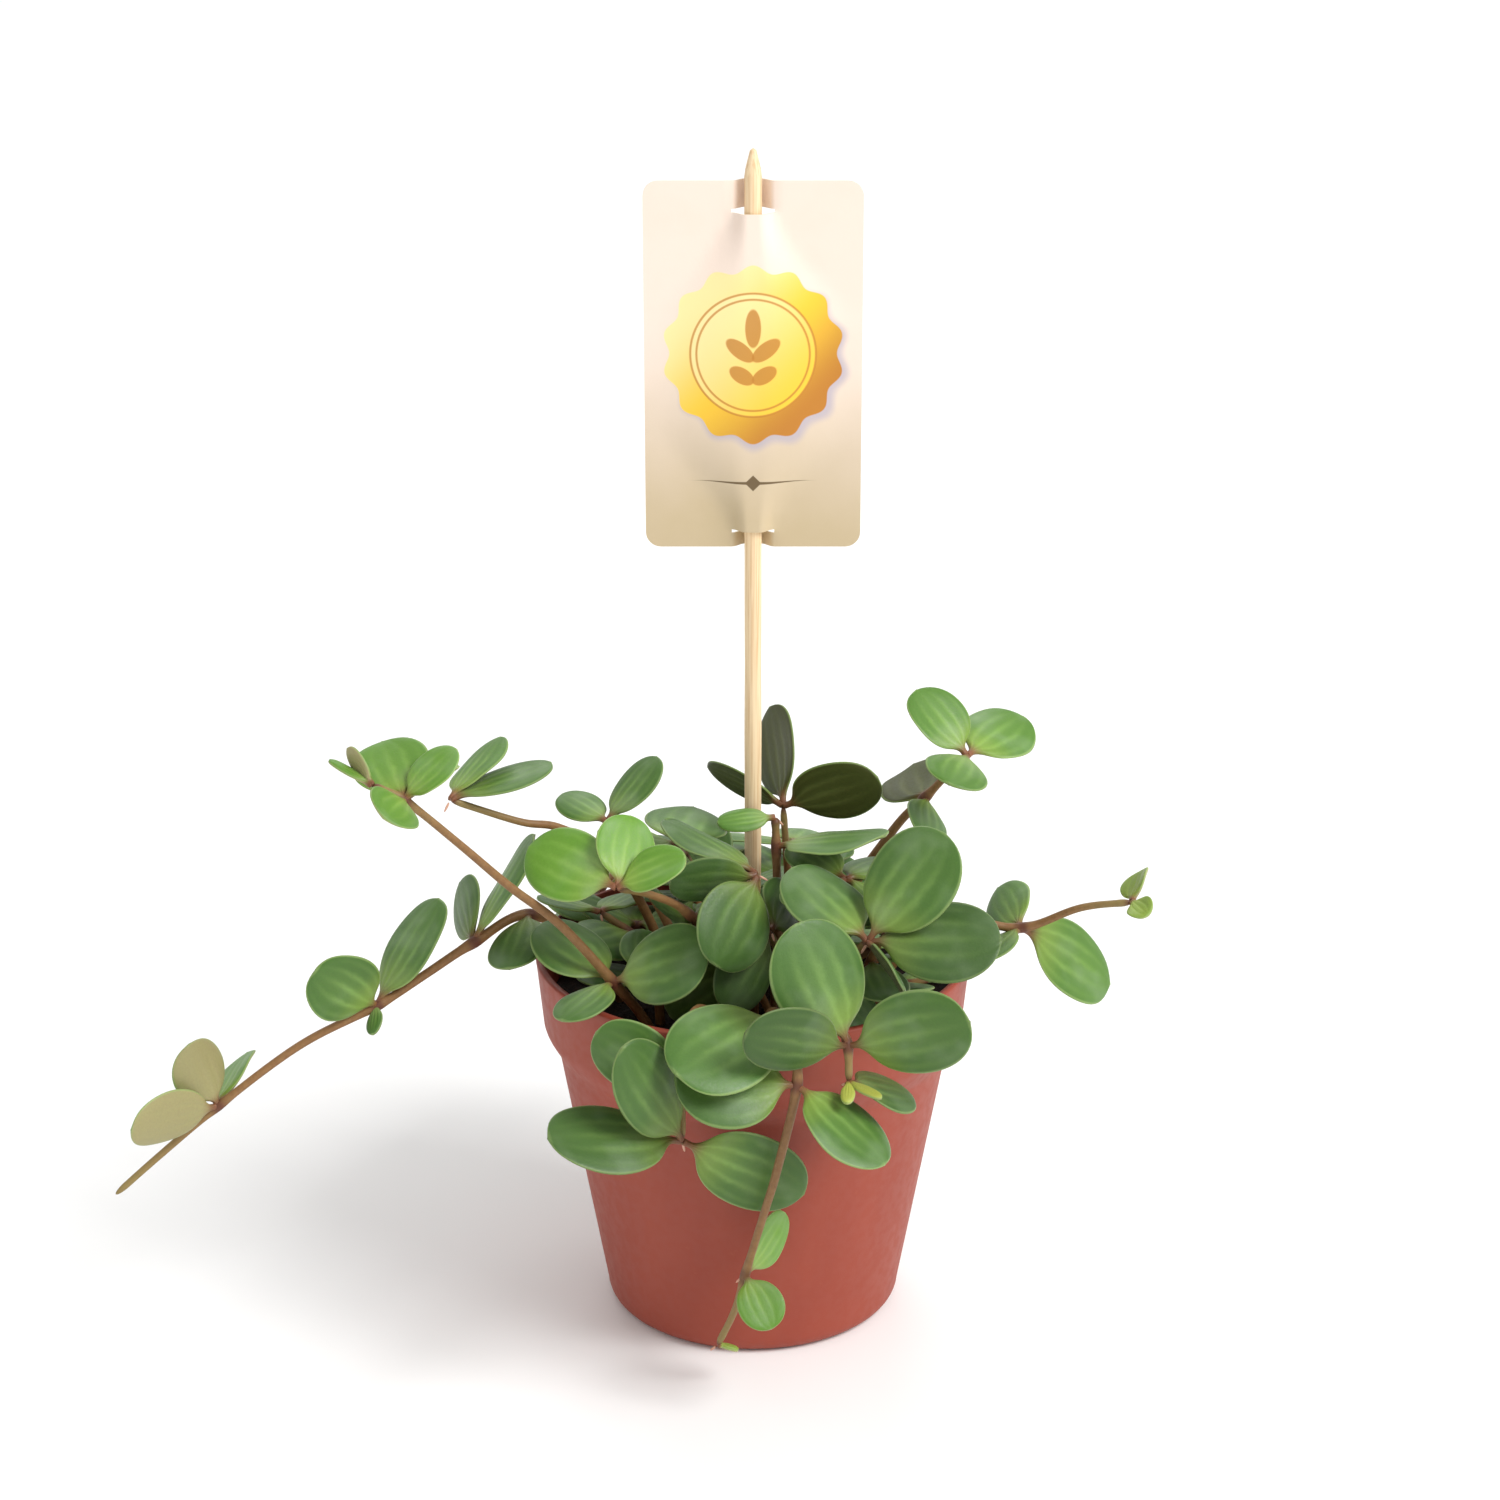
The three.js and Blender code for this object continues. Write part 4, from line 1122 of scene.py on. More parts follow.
@dataclass(frozen=True)
class CardFinish(Finish):
    """Coated board, printed: a smooth cream ground with a plain scalloped gold rosette.

    Attributes:
        top, low, paper: the printed ground above and below, and the bare back.
        gold_light, gold, gold_deep: the rosette from its lit side to its dark one.
        shade, ink: the rosette's printed shadow, and the ornament below it.
        bottom, height, light_from: the card, and the share of it over which the ground pales.
        rosette, radius, lobes, lobe: the rosette's height, radius and scallops.
        shadow: how far the printed shadow lies to the right and down.
        rings: radii of the two fine rings round its middle.
        sprig, leaf_half: each leaf's heading, foot and length, and half its width.
        rule: height of the ornament.
        blot, fleck: sizes of the ground's clouds and the board's grain, in millimetres.
    """

    called: ClassVar[str] = "printed_coated_board"
    top: str = "#F1DECF"
    low: str = "#C6B28E"
    paper: str = "#F3E8D4"
    gold_light: str = "#FAE6A2"
    gold: str = "#F8C832"
    gold_deep: str = "#BE7A1E"
    shade: str = "#B4AAB8"
    ink: str = "#6B5636"
    bottom: float = 164.4
    height: float = 72.8
    light_from: float = 0.65
    rosette: float = 203.6
    radius: float = 17.0
    lobes: int = 14
    lobe: float = 0.7
    shadow: Range = (1.0, -1.2)
    rings: Range = (12.2, 11.0)
    sprig: tuple[Point, ...] = ((0, 1.6, 7.4), (52, -1.0, 6.4), (-52, -1.0, 6.4),
                                (58, -5.4, 5.2), (-58, -5.4, 5.2))
    leaf_half: float = 1.5
    rule: float = 178.0
    blot: float = 14.0
    fleck: float = 0.5

    def surface(self, add: AddNode) -> dict[str, object]:
        """Gives the print on the front and bare board behind."""
        at = add("TexCoord").outputs["Object"]
        flat = add("VectorMath", at, (1 / MM, 0.0, 1 / MM), **TIMES)
        up = add("SeparateXYZ", flat).outputs["Z"]
        down = add("MapRange", up, self.bottom, self.bottom + self.light_from * self.height,
                   **SMOOTH)
        blot = add("TexNoise", at, per_metre(self.blot), 5.0)
        share = add("Math", blot, 0.3, add("Math", down, 0.15, **MINUS), **TIMES_PLUS)
        colour = add("Mix", share, self.low, self.top, **COLOUR)
        colour = self.print_rule(add, self.print_rosette(add, colour, flat), flat)
        normal = add("NewGeometry").outputs["True Normal"]
        front = add("Math", add("SeparateXYZ", normal).outputs["Y"], -1.0, **TIMES)
        fleck = add("TexNoise", at, per_metre(self.fleck), 3.0)
        return {
            "Base Color": tint(add, self.paper, colour, front, 0.3, 0.6),
            "Normal": add("Bump", named={"Height": fleck, "Distance": 0.02 * MM,
                                         "Strength": 0.5}),
            "Roughness": 0.42, "IOR": 1.5}

    def print_rosette(self, add: AddNode, ground: Node, flat: Node) -> Node:
        """Prints the rosette and its shadow over the ground.

        Args:
            add: adds a node to the material.
            ground: the colour under it.
            flat: places on the card in millimetres, with no depth.

        Returns:
            The printed colour.
        """
        middle = add("VectorMath", flat, (0.0, 0.0, self.rosette), **MINUS)
        right, down = self.shadow
        below = add("VectorMath", flat, (right, 0.0, self.rosette + down), **MINUS)
        radius, shifted = (add("VectorMath", at, operation="LENGTH") for at in (middle, below))
        x, _, up = add("SeparateXYZ", middle).outputs
        turn = add("Math", add("Math", x, up, operation="ARCTAN2"), self.lobes, **TIMES)
        edge = add("Math", add("Math", turn, operation="COSINE"), self.lobe, self.radius,
                   **TIMES_PLUS)
        colour = tint(add, ground, self.shade, add("Math", edge, shifted, **MINUS), -1.2, 1.0,
                      0.0, 0.75)
        lit = add("Math", add("Math", up, x, **MINUS), 1 / 44, 0.5, **TIMES_PLUS)
        gold = tint(add, self.gold_deep, self.gold, lit, 0.0, 0.55)
        gold = tint(add, gold, self.gold_light, lit, 0.45, 1.0)
        colour = tint(add, colour, gold, add("Math", edge, radius, **MINUS), -0.12, 0.12)
        disc = tint(add, self.gold, self.gold_light, lit, 0.1, 0.9)
        colour = tint(add, colour, disc, radius, self.rings[0] + 0.1, self.rings[0] - 0.1)
        for ring in self.rings:
            line = add("Math", add("Math", radius, ring, **MINUS), operation="ABSOLUTE")
            colour = tint(add, colour, self.gold_deep, line, 0.32, 0.1, 0.0, 0.8)
        for heading, foot, length in self.sprig:
            turn = math.radians(heading)
            place = (math.sin(turn) * length / 2, 0.0, foot + math.cos(turn) * length / 2)
            size = (self.leaf_half, 1.0, length / 2)
            leaf = add("Mapping", middle, place, (0.0, turn, 0.0), size, vector_type="TEXTURE")
            colour = tint(add, colour, self.gold_deep, add("VectorMath", leaf, operation="LENGTH"),
                          1.1, 0.95, 0.0, 0.85)
        return colour

    def print_rule(self, add: AddNode, ground: Node, flat: Node) -> Node:
        """Prints the tapering rule with its lozenge over the ground."""
        off = add("VectorMath", flat, (0.0, 0.0, self.rule), **MINUS)
        aside, _, above = add("SeparateXYZ", add("VectorMath", off, operation="ABSOLUTE")).outputs
        taper = add("Math", aside, -0.028, 0.34, **TIMES_PLUS)
        colour = tint(add, ground, self.ink, add("Math", taper, above, **MINUS), -0.05, 0.1)
        return tint(add, colour, self.ink, add("Math", aside, above, **PLUS), 1.7, 1.5)


@dataclass(frozen=True)
class FloorFinish(Finish):
    """Matt white studio board."""

    called: ClassVar[str] = "matt_studio_board"
    white: str = "#F8F8F7"
    whiter: str = "#FBFBFA"
    cloud: float = 60.0

    def surface(self, add: AddNode) -> dict[str, object]:
        """Gives an all but even white."""
        cloud = add("TexNoise", add("TexCoord").outputs["Object"], per_metre(self.cloud), 3.0)
        return {"Base Color": add("Mix", cloud, self.white, self.whiter, **COLOUR),
                "Roughness": 0.9}


# ---------------------------------------------------------------- pieces


def to_mesh(bm: BMesh, name: str) -> bpy.types.Mesh:
    """Turns a mesh under work into a finished one, and frees it."""
    mesh = bpy.data.meshes.new(name)
    bm.to_mesh(mesh)
    bm.free()
    return mesh


def add_object(name: str, data: bpy.types.ID) -> bpy.types.Object:
    """Puts a mesh, a light or a camera in the scene."""
    item = bpy.data.objects.new(name, data)
    bpy.context.scene.collection.objects.link(item)
    return item


def append(bm: BMesh, part: BMesh, material: int = 0) -> None:
    """Joins one mesh to another and frees it.

    Args:
        bm: the mesh that grows.
        part: the mesh that joins it.
        material: the number of the material that its faces take.
    """
    for face in part.faces:
        face.material_index = material
    mesh = to_mesh(part, "part")
    bm.from_mesh(mesh)
    bpy.data.meshes.remove(mesh)


def mend(bm: BMesh, apart: float = 0.005) -> None:
    """Merges points closer than some millimetres, then turns every face outwards."""
    bmesh.ops.remove_doubles(bm, verts=bm.verts[:], dist=apart * MM)
    bmesh.ops.recalc_face_normals(bm, faces=bm.faces[:])


def spin(line: list[tuple[float, float]], steps: int) -> BMesh:
    """Spins an outline round the upright axis.

    Args:
        line: radius and height of each point, in millimetres, from the axis round to the axis.
        steps: faces round it.

    Returns:
        The closed mesh, in metres.
    """
    bm = bmesh.new()
    verts = [bm.verts.new((r * MM, 0, z * MM)) for r, z in line]
    edges = [bm.edges.new(pair) for pair in zip(verts, verts[1:])]
    bmesh.ops.spin(bm, geom=verts + edges, cent=(0, 0, 0), axis=(0, 0, 1), angle=FULL_TURN,
                   steps=steps, use_merge=True)
    mend(bm)
    return bm


def to_piece(bm: BMesh, name: str, materials: list[Material], replaced: str,
             levels: int = 0) -> bpy.types.Object:
    """Turns a finished mesh into a piece that rides on the pot's body.

    Args:
        bm: the mesh, in metres; it is freed.
        name: the piece's name.
        materials: its materials, in the order of the faces' numbers.
        replaced: the solid it stands for.
        levels: how often its faces are subdivided.

    Returns:
        The piece.
    """
    for face in bm.faces:
        face.smooth = True
    mesh = to_mesh(bm, name)
    for material in materials:
        mesh.materials.append(material)
    piece = add_object(name, mesh)
    if levels:
        modifier = piece.modifiers.new("smooth", "SUBSURF")
        modifier.levels = modifier.render_levels = levels
    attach(piece, "root")
    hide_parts(replaced)
    LOG.info("%s: %d faces, for %s", name, len(mesh.polygons), replaced)
    return piece


@dataclass(frozen=True)
class Blade:
    """The fleshy blade and stalk that every leaf is shaped from.

    Attributes:
        stalk_rows, blade_rows: how many rows of faces run along each.
        columns: how many faces lie across, two for each vein.
        flesh, skin: thickness at the midrib and at the margin, in millimetres.
        stalk_thick, stalk_skin: thickness of the stalk in its middle and at its sides.
        neck, flare, flare_reach: half the stalk's width, and how it widens at the stem.
        foot_rows: how many rows the blade's foot reaches back into the stalk.
        leafy_from, leafy_over: from which share of the stalk, and over which share of half the
            width, stalk turns to blade.
        tip_from, tip_thin: where the tip begins to thin, and to what share.
        vein: from vein to vein, as a share of half the blade.
        full_size: half the width from which a leaf is ruffled in full.
        groove, under_groove: how deep the veins are sunk into the upper face and the lower one.
        ruffle: how far the margin strays from its plane.
        blunt, lopsided: how blunt the ends are, and how far the widest place may shift.
    """

    stalk_rows: int = 3
    blade_rows: int = 11
    columns: int = 10
    flesh: float = 1.15
    skin: float = 0.42
    stalk_thick: float = 1.35
    stalk_skin: float = 0.12
    neck: float = 0.62
    flare: float = 0.2
    flare_reach: float = 0.9
    foot_rows: float = 0.9
    leafy_from: float = 0.6
    leafy_over: float = 0.8
    tip_from: float = 0.9
    tip_thin: float = 0.55
    vein: float = 0.4
    groove: float = 0.1
    under_groove: float = 0.04
    ruffle: float = 0.35
    full_size: float = 9.0
    blunt: float = 0.92
    lopsided: float = 0.07

    @cached_property
    def template(self) -> bpy.types.Mesh:
        """A flat closed slab of faces, x along the leaf, y across and z through it."""
        bm = bmesh.new()
        rows = self.stalk_rows + self.blade_rows
        bmesh.ops.create_grid(bm, x_segments=rows, y_segments=self.columns, size=1)
        bmesh.ops.solidify(bm, geom=bm.faces[:], thickness=1.0)
        bmesh.ops.recalc_face_normals(bm, faces=bm.faces[:])
        return to_mesh(bm, "blade_template")

    def add(self, bm: BMesh, leaf: Leaf, chance: float) -> None:
        """Shapes one leaf into a mesh.

        Args:
            bm: the mesh it joins.
            leaf: where it grows and how large.
            chance: a number from 0 to 1 that makes it differ from the next leaf.
        """
        part = bmesh.new()
        place = part.verts.layers.float_vector.new("blade_place")
        tone = part.verts.layers.float_vector.new("blade_tone")
        part.from_mesh(self.template)
        flat = np.array([v.co for v in part.verts])
        low, high = flat.min(0), flat.max(0)
        step, s, upper = ((flat - (low + high) / 2) / (high - low)).T
        rows = self.stalk_rows + self.blade_rows
        step, s, upper = (step + 0.5) * rows, 2 * s, upper > 0
        stalk, span = leaf.stalk, leaf.length - leaf.stalk
        turn = (step - self.stalk_rows + self.foot_rows) / (self.blade_rows + self.foot_rows)
        turn = np.clip(turn, 0, 1) * math.pi
        share = (1 - np.cos(turn)) / 2
        a = np.where(step < self.stalk_rows, step / self.stalk_rows * stalk, stalk + span * share)
        a[step < 0.5] = 0.0
        b = s * self.widths(leaf, chance, step, turn, share, a)
        leafy = (a - stalk * self.leafy_from) / (leaf.half * self.leafy_over)
        leafy = np.clip(leafy, 0, 1)
        round_off = np.sqrt(np.maximum(0, 1 - s * s))
        thick = (mix(self.stalk_thick, self.flesh, leafy) * round_off
                 + mix(self.stalk_skin, self.skin, leafy) * (1 - round_off))
        tip = (share - self.tip_from) / (1 - self.tip_from)
        thick = thick * np.where(tip > 0, mix(1.0, self.tip_thin, tip), 1.0)
        vein = (0.5 + 0.5 * np.cos(FULL_TURN * s / self.vein)) * leafy * round_off
        raised = np.where(upper, thick / 2 - self.groove * vein,
                          self.under_groove * vein - thick / 2)
        wave = np.sin(2.3 * turn + 7 * chance) + 0.6 * np.sin(4.1 * turn - 9 * chance + s)
        ruffle = self.ruffle * (chance + 0.3) * min(1, leaf.half / self.full_size)
        raised += ruffle * wave * leafy * s * s
        places = leaf.points(a, b, raised) * MM
        rim = np.maximum(np.abs(s), np.clip(share, 0, 1) ** 3)
        for v, at, u, across, edge, top in zip(part.verts, places, (a - stalk) / span, s, rim,
                                               upper):
            v.co = at
            v[place] = (u, across, edge)
            v[tone] = (leaf.youth_and_shade, chance, 0.0 if top else 1.0)
        mend(part, 0.01)
        append(bm, part)

    def widths(self, leaf: Leaf, chance: float, step: np.ndarray, turn: np.ndarray,
               share: np.ndarray, a: np.ndarray) -> np.ndarray:
        """Gives half the leaf's width at each of its rows.

        Args:
            leaf: the leaf.
            chance: what makes it differ: it moves the widest place along the blade.
            step: the row's number.
            turn: its place along the blade, from 0 to pi.
            share: the same from 0 to 1.
            a: its distance from the stem.

        Returns:
            The half widths, in millimetres.
        """
        oval = np.sin(turn) ** self.blunt * (1 + self.lopsided * (chance - 0.3) * np.cos(turn))
        blade = leaf.half * oval * (1 - 0.05 * (1 - share))
        neck = self.neck + self.flare * np.exp(-((a / self.flare_reach) ** 2))
        width = np.maximum(blade, np.where(step < self.stalk_rows + 0.5, neck, 0))
        return np.where(step > self.stalk_rows + self.blade_rows - 0.5, 0.0, width)


@dataclass(frozen=True)
class Foliage:
    """The stems with their leaves, one piece for each solid.

    Attributes:
        seed: what the leaves and the pegs vary by.
        step: distance between a stem's rings, in millimetres.
        sides: faces round a stem.
        slim: how thin a real stem is beside its solid, and once more at its tip.
        tip_round: how far the last ring closes.
        swell, swell_reach: how much thicker a stem is at its joints, and how far along.
        stub_sides, stub_length, stub_radius: the short pale pegs at some joints.
        stub_stretch: the range of their lengths beside that.
        bare: how many of the joints have none.
    """

    seed: int = 7
    step: float = 2.2
    sides: int = 8
    slim: Range = (0.9, 0.72)
    tip_round: float = 0.35
    swell: float = 0.42
    swell_reach: float = 1.7
    stub_sides: int = 6
    stub_length: float = 2.6
    stub_radius: float = 0.42
    stub_stretch: Range = (0.7, 1.2)
    bare: float = 0.35

    def twig(self, plant: Plant) -> BMesh:
        """Draws a stem out of a circle, ring by ring along its route."""
        stem = plant.stem
        rings = max(6, round(route_length(stem.route) / self.step))
        share = np.arange(rings + 1) / rings
        at = route_points(stem.route, share)
        joints = [whorl.index / (len(stem.route) - 1) for whorl in stem.whorls]
        joint_at = route_points(stem.route, np.array(joints))
        near = np.exp(-(distances(at[:, None], joint_at).min(1) / self.swell_reach) ** 2)
        whole, tip = self.slim
        radius = mix(TWIG_ROOT, TWIG_TIP * tip, share) * whole + self.swell * near
        radius[-1] *= self.tip_round
        bm = bmesh.new()
        place = bm.verts.layers.float_vector.new("twig_place")
        ring = bmesh.ops.create_circle(bm, segments=self.sides, radius=1, cap_ends=True)["verts"]
        ahead = np.gradient(at, axis=0)
        across = Vector((1, 0.2, 0))
        for i, centre in enumerate(at):
            along = Vector(ahead[i]).normalized()
            across = (across - along * across.dot(along)).normalized()
            other = along.cross(across)
            if i:
                edges = [e for e in bm.edges if e.verts[0] in ring and e.verts[1] in ring]
                out = bmesh.ops.extrude_edge_only(bm, edges=edges)["geom"]
                fresh = [v for v in out if isinstance(v, bmesh.types.BMVert)]
                pairs = {e.other_vert(v): v for v in fresh for e in v.link_edges
                         if e.other_vert(v) in ring}
                ring = [pairs[v] for v in ring]
            for k, v in enumerate(ring):
                angle = FULL_TURN * k / self.sides
                off = across * math.cos(angle) + other * math.sin(angle)
                v.co = (Vector(centre) + off * float(radius[i])) * MM
                v[place] = (share[i], near[i], 0.0)
        bmesh.ops.contextual_create(bm, geom=[e for e in bm.edges if e.is_boundary])
        bmesh.ops.recalc_face_normals(bm, faces=bm.faces[:])
        return bm

    def stubs(self, plant: Plant, stream: Iterator[float]) -> Iterator[BMesh]:
        """Makes the short pale pegs that stand out from some joints."""
        for whorl in plant.stem.whorls:
            node = Vector(plant.stem.route[whorl.index])
            leaves = [leaf for leaf in plant.leaves if math.dist(leaf.node, node) < 1]
            if not leaves or next(stream) < self.bare:
                continue
            away = -sum((Vector(leaf.along) for leaf in leaves), Vector((0, 0, 0.4)))
            along = (away.normalized() + Vector((0, 0, -0.6))).normalized()
            bm = bmesh.new()
            place = bm.verts.layers.float_vector.new("twig_place")
            length = self.stub_length * mix(*self.stub_stretch, next(stream))
            bmesh.ops.create_cone(bm, cap_ends=True, segments=self.stub_sides, depth=length,
                                  radius1=self.stub_radius, radius2=self.stub_radius * 0.6)
            turn = along.to_track_quat("Z", "Y").to_matrix().to_4x4()
            at = Matrix.Translation((node + along * (length / 2 + 0.3)) * MM)
            bmesh.ops.transform(bm, matrix=at @ turn @ Matrix.Scale(MM, 4), verts=bm.verts[:])
            for v in bm.verts:
                v[place] = (0.0, 0.0, 1.0)
            yield bm

    def build(self) -> None:
        """Makes a piece for every planted stem."""
        blade, finishes = Blade(), [LeafFinish().build(), TwigFinish().build()]
        stream = seeded_stream(self.seed)
        for plant in plant_all():
            bm = bmesh.new()
            for name in ("blade_place", "blade_tone", "twig_place"):
                bm.verts.layers.float_vector.new(name)
            for leaf in plant.leaves:
                blade.add(bm, leaf, next(stream))
            append(bm, self.twig(plant), 1)
            for stub in self.stubs(plant, stream):
                append(bm, stub, 1)
            to_piece(bm, f"{plant.stem.name}_leafy", finishes, plant.stem.name, 1)


@dataclass(frozen=True)
class NurseryPot:
    """The thin moulded pot with its stepped collar and drain holes.

    Attributes:
        steps: faces round the pot.
        rim_round: radius of the rolled rim.
        ledge_below, ledge_above: how far below and above its height the collar's ledge eases in.
        floor_flat: radius of the ring from which the floor is flat.
        hole_sides, drill: faces round each drain hole, and the length of what drills it.
    """

    steps: int = 144
    rim_round: float = 0.6
    ledge_below: float = 5.0
    ledge_above: float = 3.0
    floor_flat: float = 10.0
    hole_sides: int = 24
    drill: float = 12.0

    def profile(self) -> list[tuple[float, float]]:
        """Lists the wall's outline, radius and height, from the axis under the floor round."""
        rim, wall, floor, top, step = (POT.rim_radius, POT.wall, POT.floor, POT.height,
                                       POT.collar_from)
        foot, base, slope = POT.foot_round, POT.base_radius, POT.body_slope
        arc = [(base - foot * (1 - math.sin(t)) + foot * slope, foot * (1 - math.cos(t)))
               for t in np.linspace(0, math.pi / 2, 9)]

        def outer(z: float) -> float:
            """Gives the wall's outer radius at a height."""
            return float(pot_outer(z))

        body = [(outer(z), z) for z in (12, 24, 36, 48)]
        low, high = step - self.ledge_below, step + self.ledge_above
        ledge = [(mix(outer(low), outer(high), eased(t)), mix(low, high, t))
                 for t in np.linspace(0, 1, 11)]
        collar = [(outer(z), z) for z in (step + 8, top - 2)]
        lip = [(rim - self.rim_round * (1 - math.cos(t)), top - self.rim_round * (1 - math.sin(t)))
               for t in np.linspace(0.1, math.pi / 2, 5)]
        inner = [(rim - wall, top), (rim - wall - 0.15, top - 0.5),
                 (outer(step + 1.4) - wall, step + 1.4), (outer(step) - wall, step - 0.4),
                 (outer(floor + 3) - wall, floor + 3), (outer(floor) - wall - 2.6, floor)]
        return [(0, 0), (self.floor_flat, 0), *arc, *body, *ledge, *collar, *lip, *inner,
                (self.floor_flat, floor), (0, floor)]

    def build(self) -> None:
        """Spins the wall and drills the drain holes."""
        bm = spin(self.profile(), self.steps)
        piece = to_piece(bm, "nursery_pot", [PotFinish().build()], "pot")
        drills = bmesh.new()
        ring, radius = POT.hole_ring * MM, POT.hole_radius * MM
        for i in range(POT.holes):
            turn = FULL_TURN * i / POT.holes
            at = Matrix.Translation((ring * math.cos(turn), ring * math.sin(turn), 0))
            bmesh.ops.create_cone(drills, cap_ends=True, segments=self.hole_sides, matrix=at,
                                  radius1=radius, radius2=radius, depth=self.drill * MM)
        cut(piece, drills)


def cut(piece: bpy.types.Object, tool: BMesh) -> None:
    """Cuts a closed shape out of a piece for good.

    Args:
        piece: what is cut.
        tool: the shape that is taken away; it is freed.
    """
    cutter = add_object("tool", to_mesh(tool, "tool"))
    modifier = piece.modifiers.new("cut", "BOOLEAN")
    modifier.object, modifier.operation, modifier.solver = cutter, "DIFFERENCE", "EXACT"
    bpy.context.view_layer.update()
    shown = piece.evaluated_get(bpy.context.evaluated_depsgraph_get())
    piece.data = bpy.data.meshes.new_from_object(shown)
    piece.modifiers.clear()
    bpy.data.objects.remove(cutter)


@dataclass(frozen=True)
class Peat:
    """The peat that fills the pot: a rough lumpy top with loose crumbs.

    Attributes:
        seed: what the crumbs vary by.
        steps, rings: faces round the fill, and from its middle to the wall.
        lump, lump_pitch: height of the fine lumps, and how many there are to a millimetre.
        crumbs, crumb: how many loose crumbs lie on top, and the range of their radii.
    """

    seed: int = 3
    steps: int = 96
    rings: int = 26
    lump: float = 1.1
    lump_pitch: float = 0.45
    crumbs: int = 150
    crumb: Range = (0.5, 1.5)

    def surface(self, x: float, y: float) -> float:
        """Gives the height of the peat at a place, in millimetres."""
        swell = 0.6 * math.sin(0.33 * x + 1.1) * math.cos(0.29 * y)
        swell += 0.4 * math.sin(0.71 * x - 0.55 * y)
        place = Vector((x * self.lump_pitch, y * self.lump_pitch, 3.1))
        fine = noise.fractal(place, 0.9, 2.1, 4)
        return SOIL_TOP + SOIL_RELIEF * swell + self.lump * max(-1.0, min(1.0, fine))

    def build(self) -> None:
        """Spins the fill, roughens its top and strews the crumbs."""
        shift = POT.wall + SOIL_GAP

        def inside(z: float) -> float:
            """Gives the fill's radius at a height."""
            return float(pot_outer(z)) - shift

        wall, foot = inside(SOIL_TOP), POT.floor + 0.3
        low = [(0, foot), (inside(foot) - 3, foot), (inside(foot + 3), foot + 3),
               (inside(60), 60), (wall, SOIL_TOP - 1.2)]
        top = [(wall * r / self.rings, SOIL_TOP) for r in range(self.rings - 1, -1, -1)]
        bm = spin(low + top, self.steps)
        for v in bm.verts:
            if v.co.z > (SOIL_TOP - 0.1) * MM:
                v.co.z = self.surface(v.co.x / MM, v.co.y / MM) * MM
        stream = seeded_stream(self.seed)
        for _ in range(self.crumbs):
            far, turn = (wall - 2) * math.sqrt(next(stream)), FULL_TURN * next(stream)
            x, y, size = far * math.cos(turn), far * math.sin(turn), mix(*self.crumb, next(stream))
            made = bmesh.ops.create_icosphere(bm, subdivisions=1, radius=size * MM)["verts"]
            for v in made:
                v.co *= 1 + 0.5 * (next(stream) - 0.5)
                v.co.z *= 0.7
            at = Vector((x, y, self.surface(x, y) + size * 0.25)) * MM
            bmesh.ops.translate(bm, verts=made, vec=at)
        to_piece(bm, "peat_fill", [PeatFinish().build()], "soil")


@dataclass(frozen=True)
class CardStick:
    """The splint that holds the card: round, with a whittled point.

    Attributes:
        foot, shoulder, top: heights where it starts, begins to narrow and ends.
        sides: faces round it.
    """

    foot: float = 22.0
    shoulder: float = 239.0
    top: float = 243.5
    sides: int = 32

    def build(self) -> None:
        """Spins the stick."""
        r, shoulder, top = STICK_RADIUS, self.shoulder, self.top
        wavy = [(r * (0.97 + 0.03 * math.sin(z * 0.19) * math.cos(z * 0.071)), z)
                for z in np.linspace(self.foot + 0.5, shoulder - 4, 30)]
        tip = [(r * 0.97, shoulder - 1), (r * 0.85, shoulder + 0.6), (r * 0.62, shoulder + 2.2),
               (r * 0.36, top - 0.5), (0, top)]
        bm = spin([(0, self.foot), (r * 0.9, self.foot), *wavy, *tip], self.sides)
        to_piece(bm, "card_stick", [WoodFinish().build()], "stick")


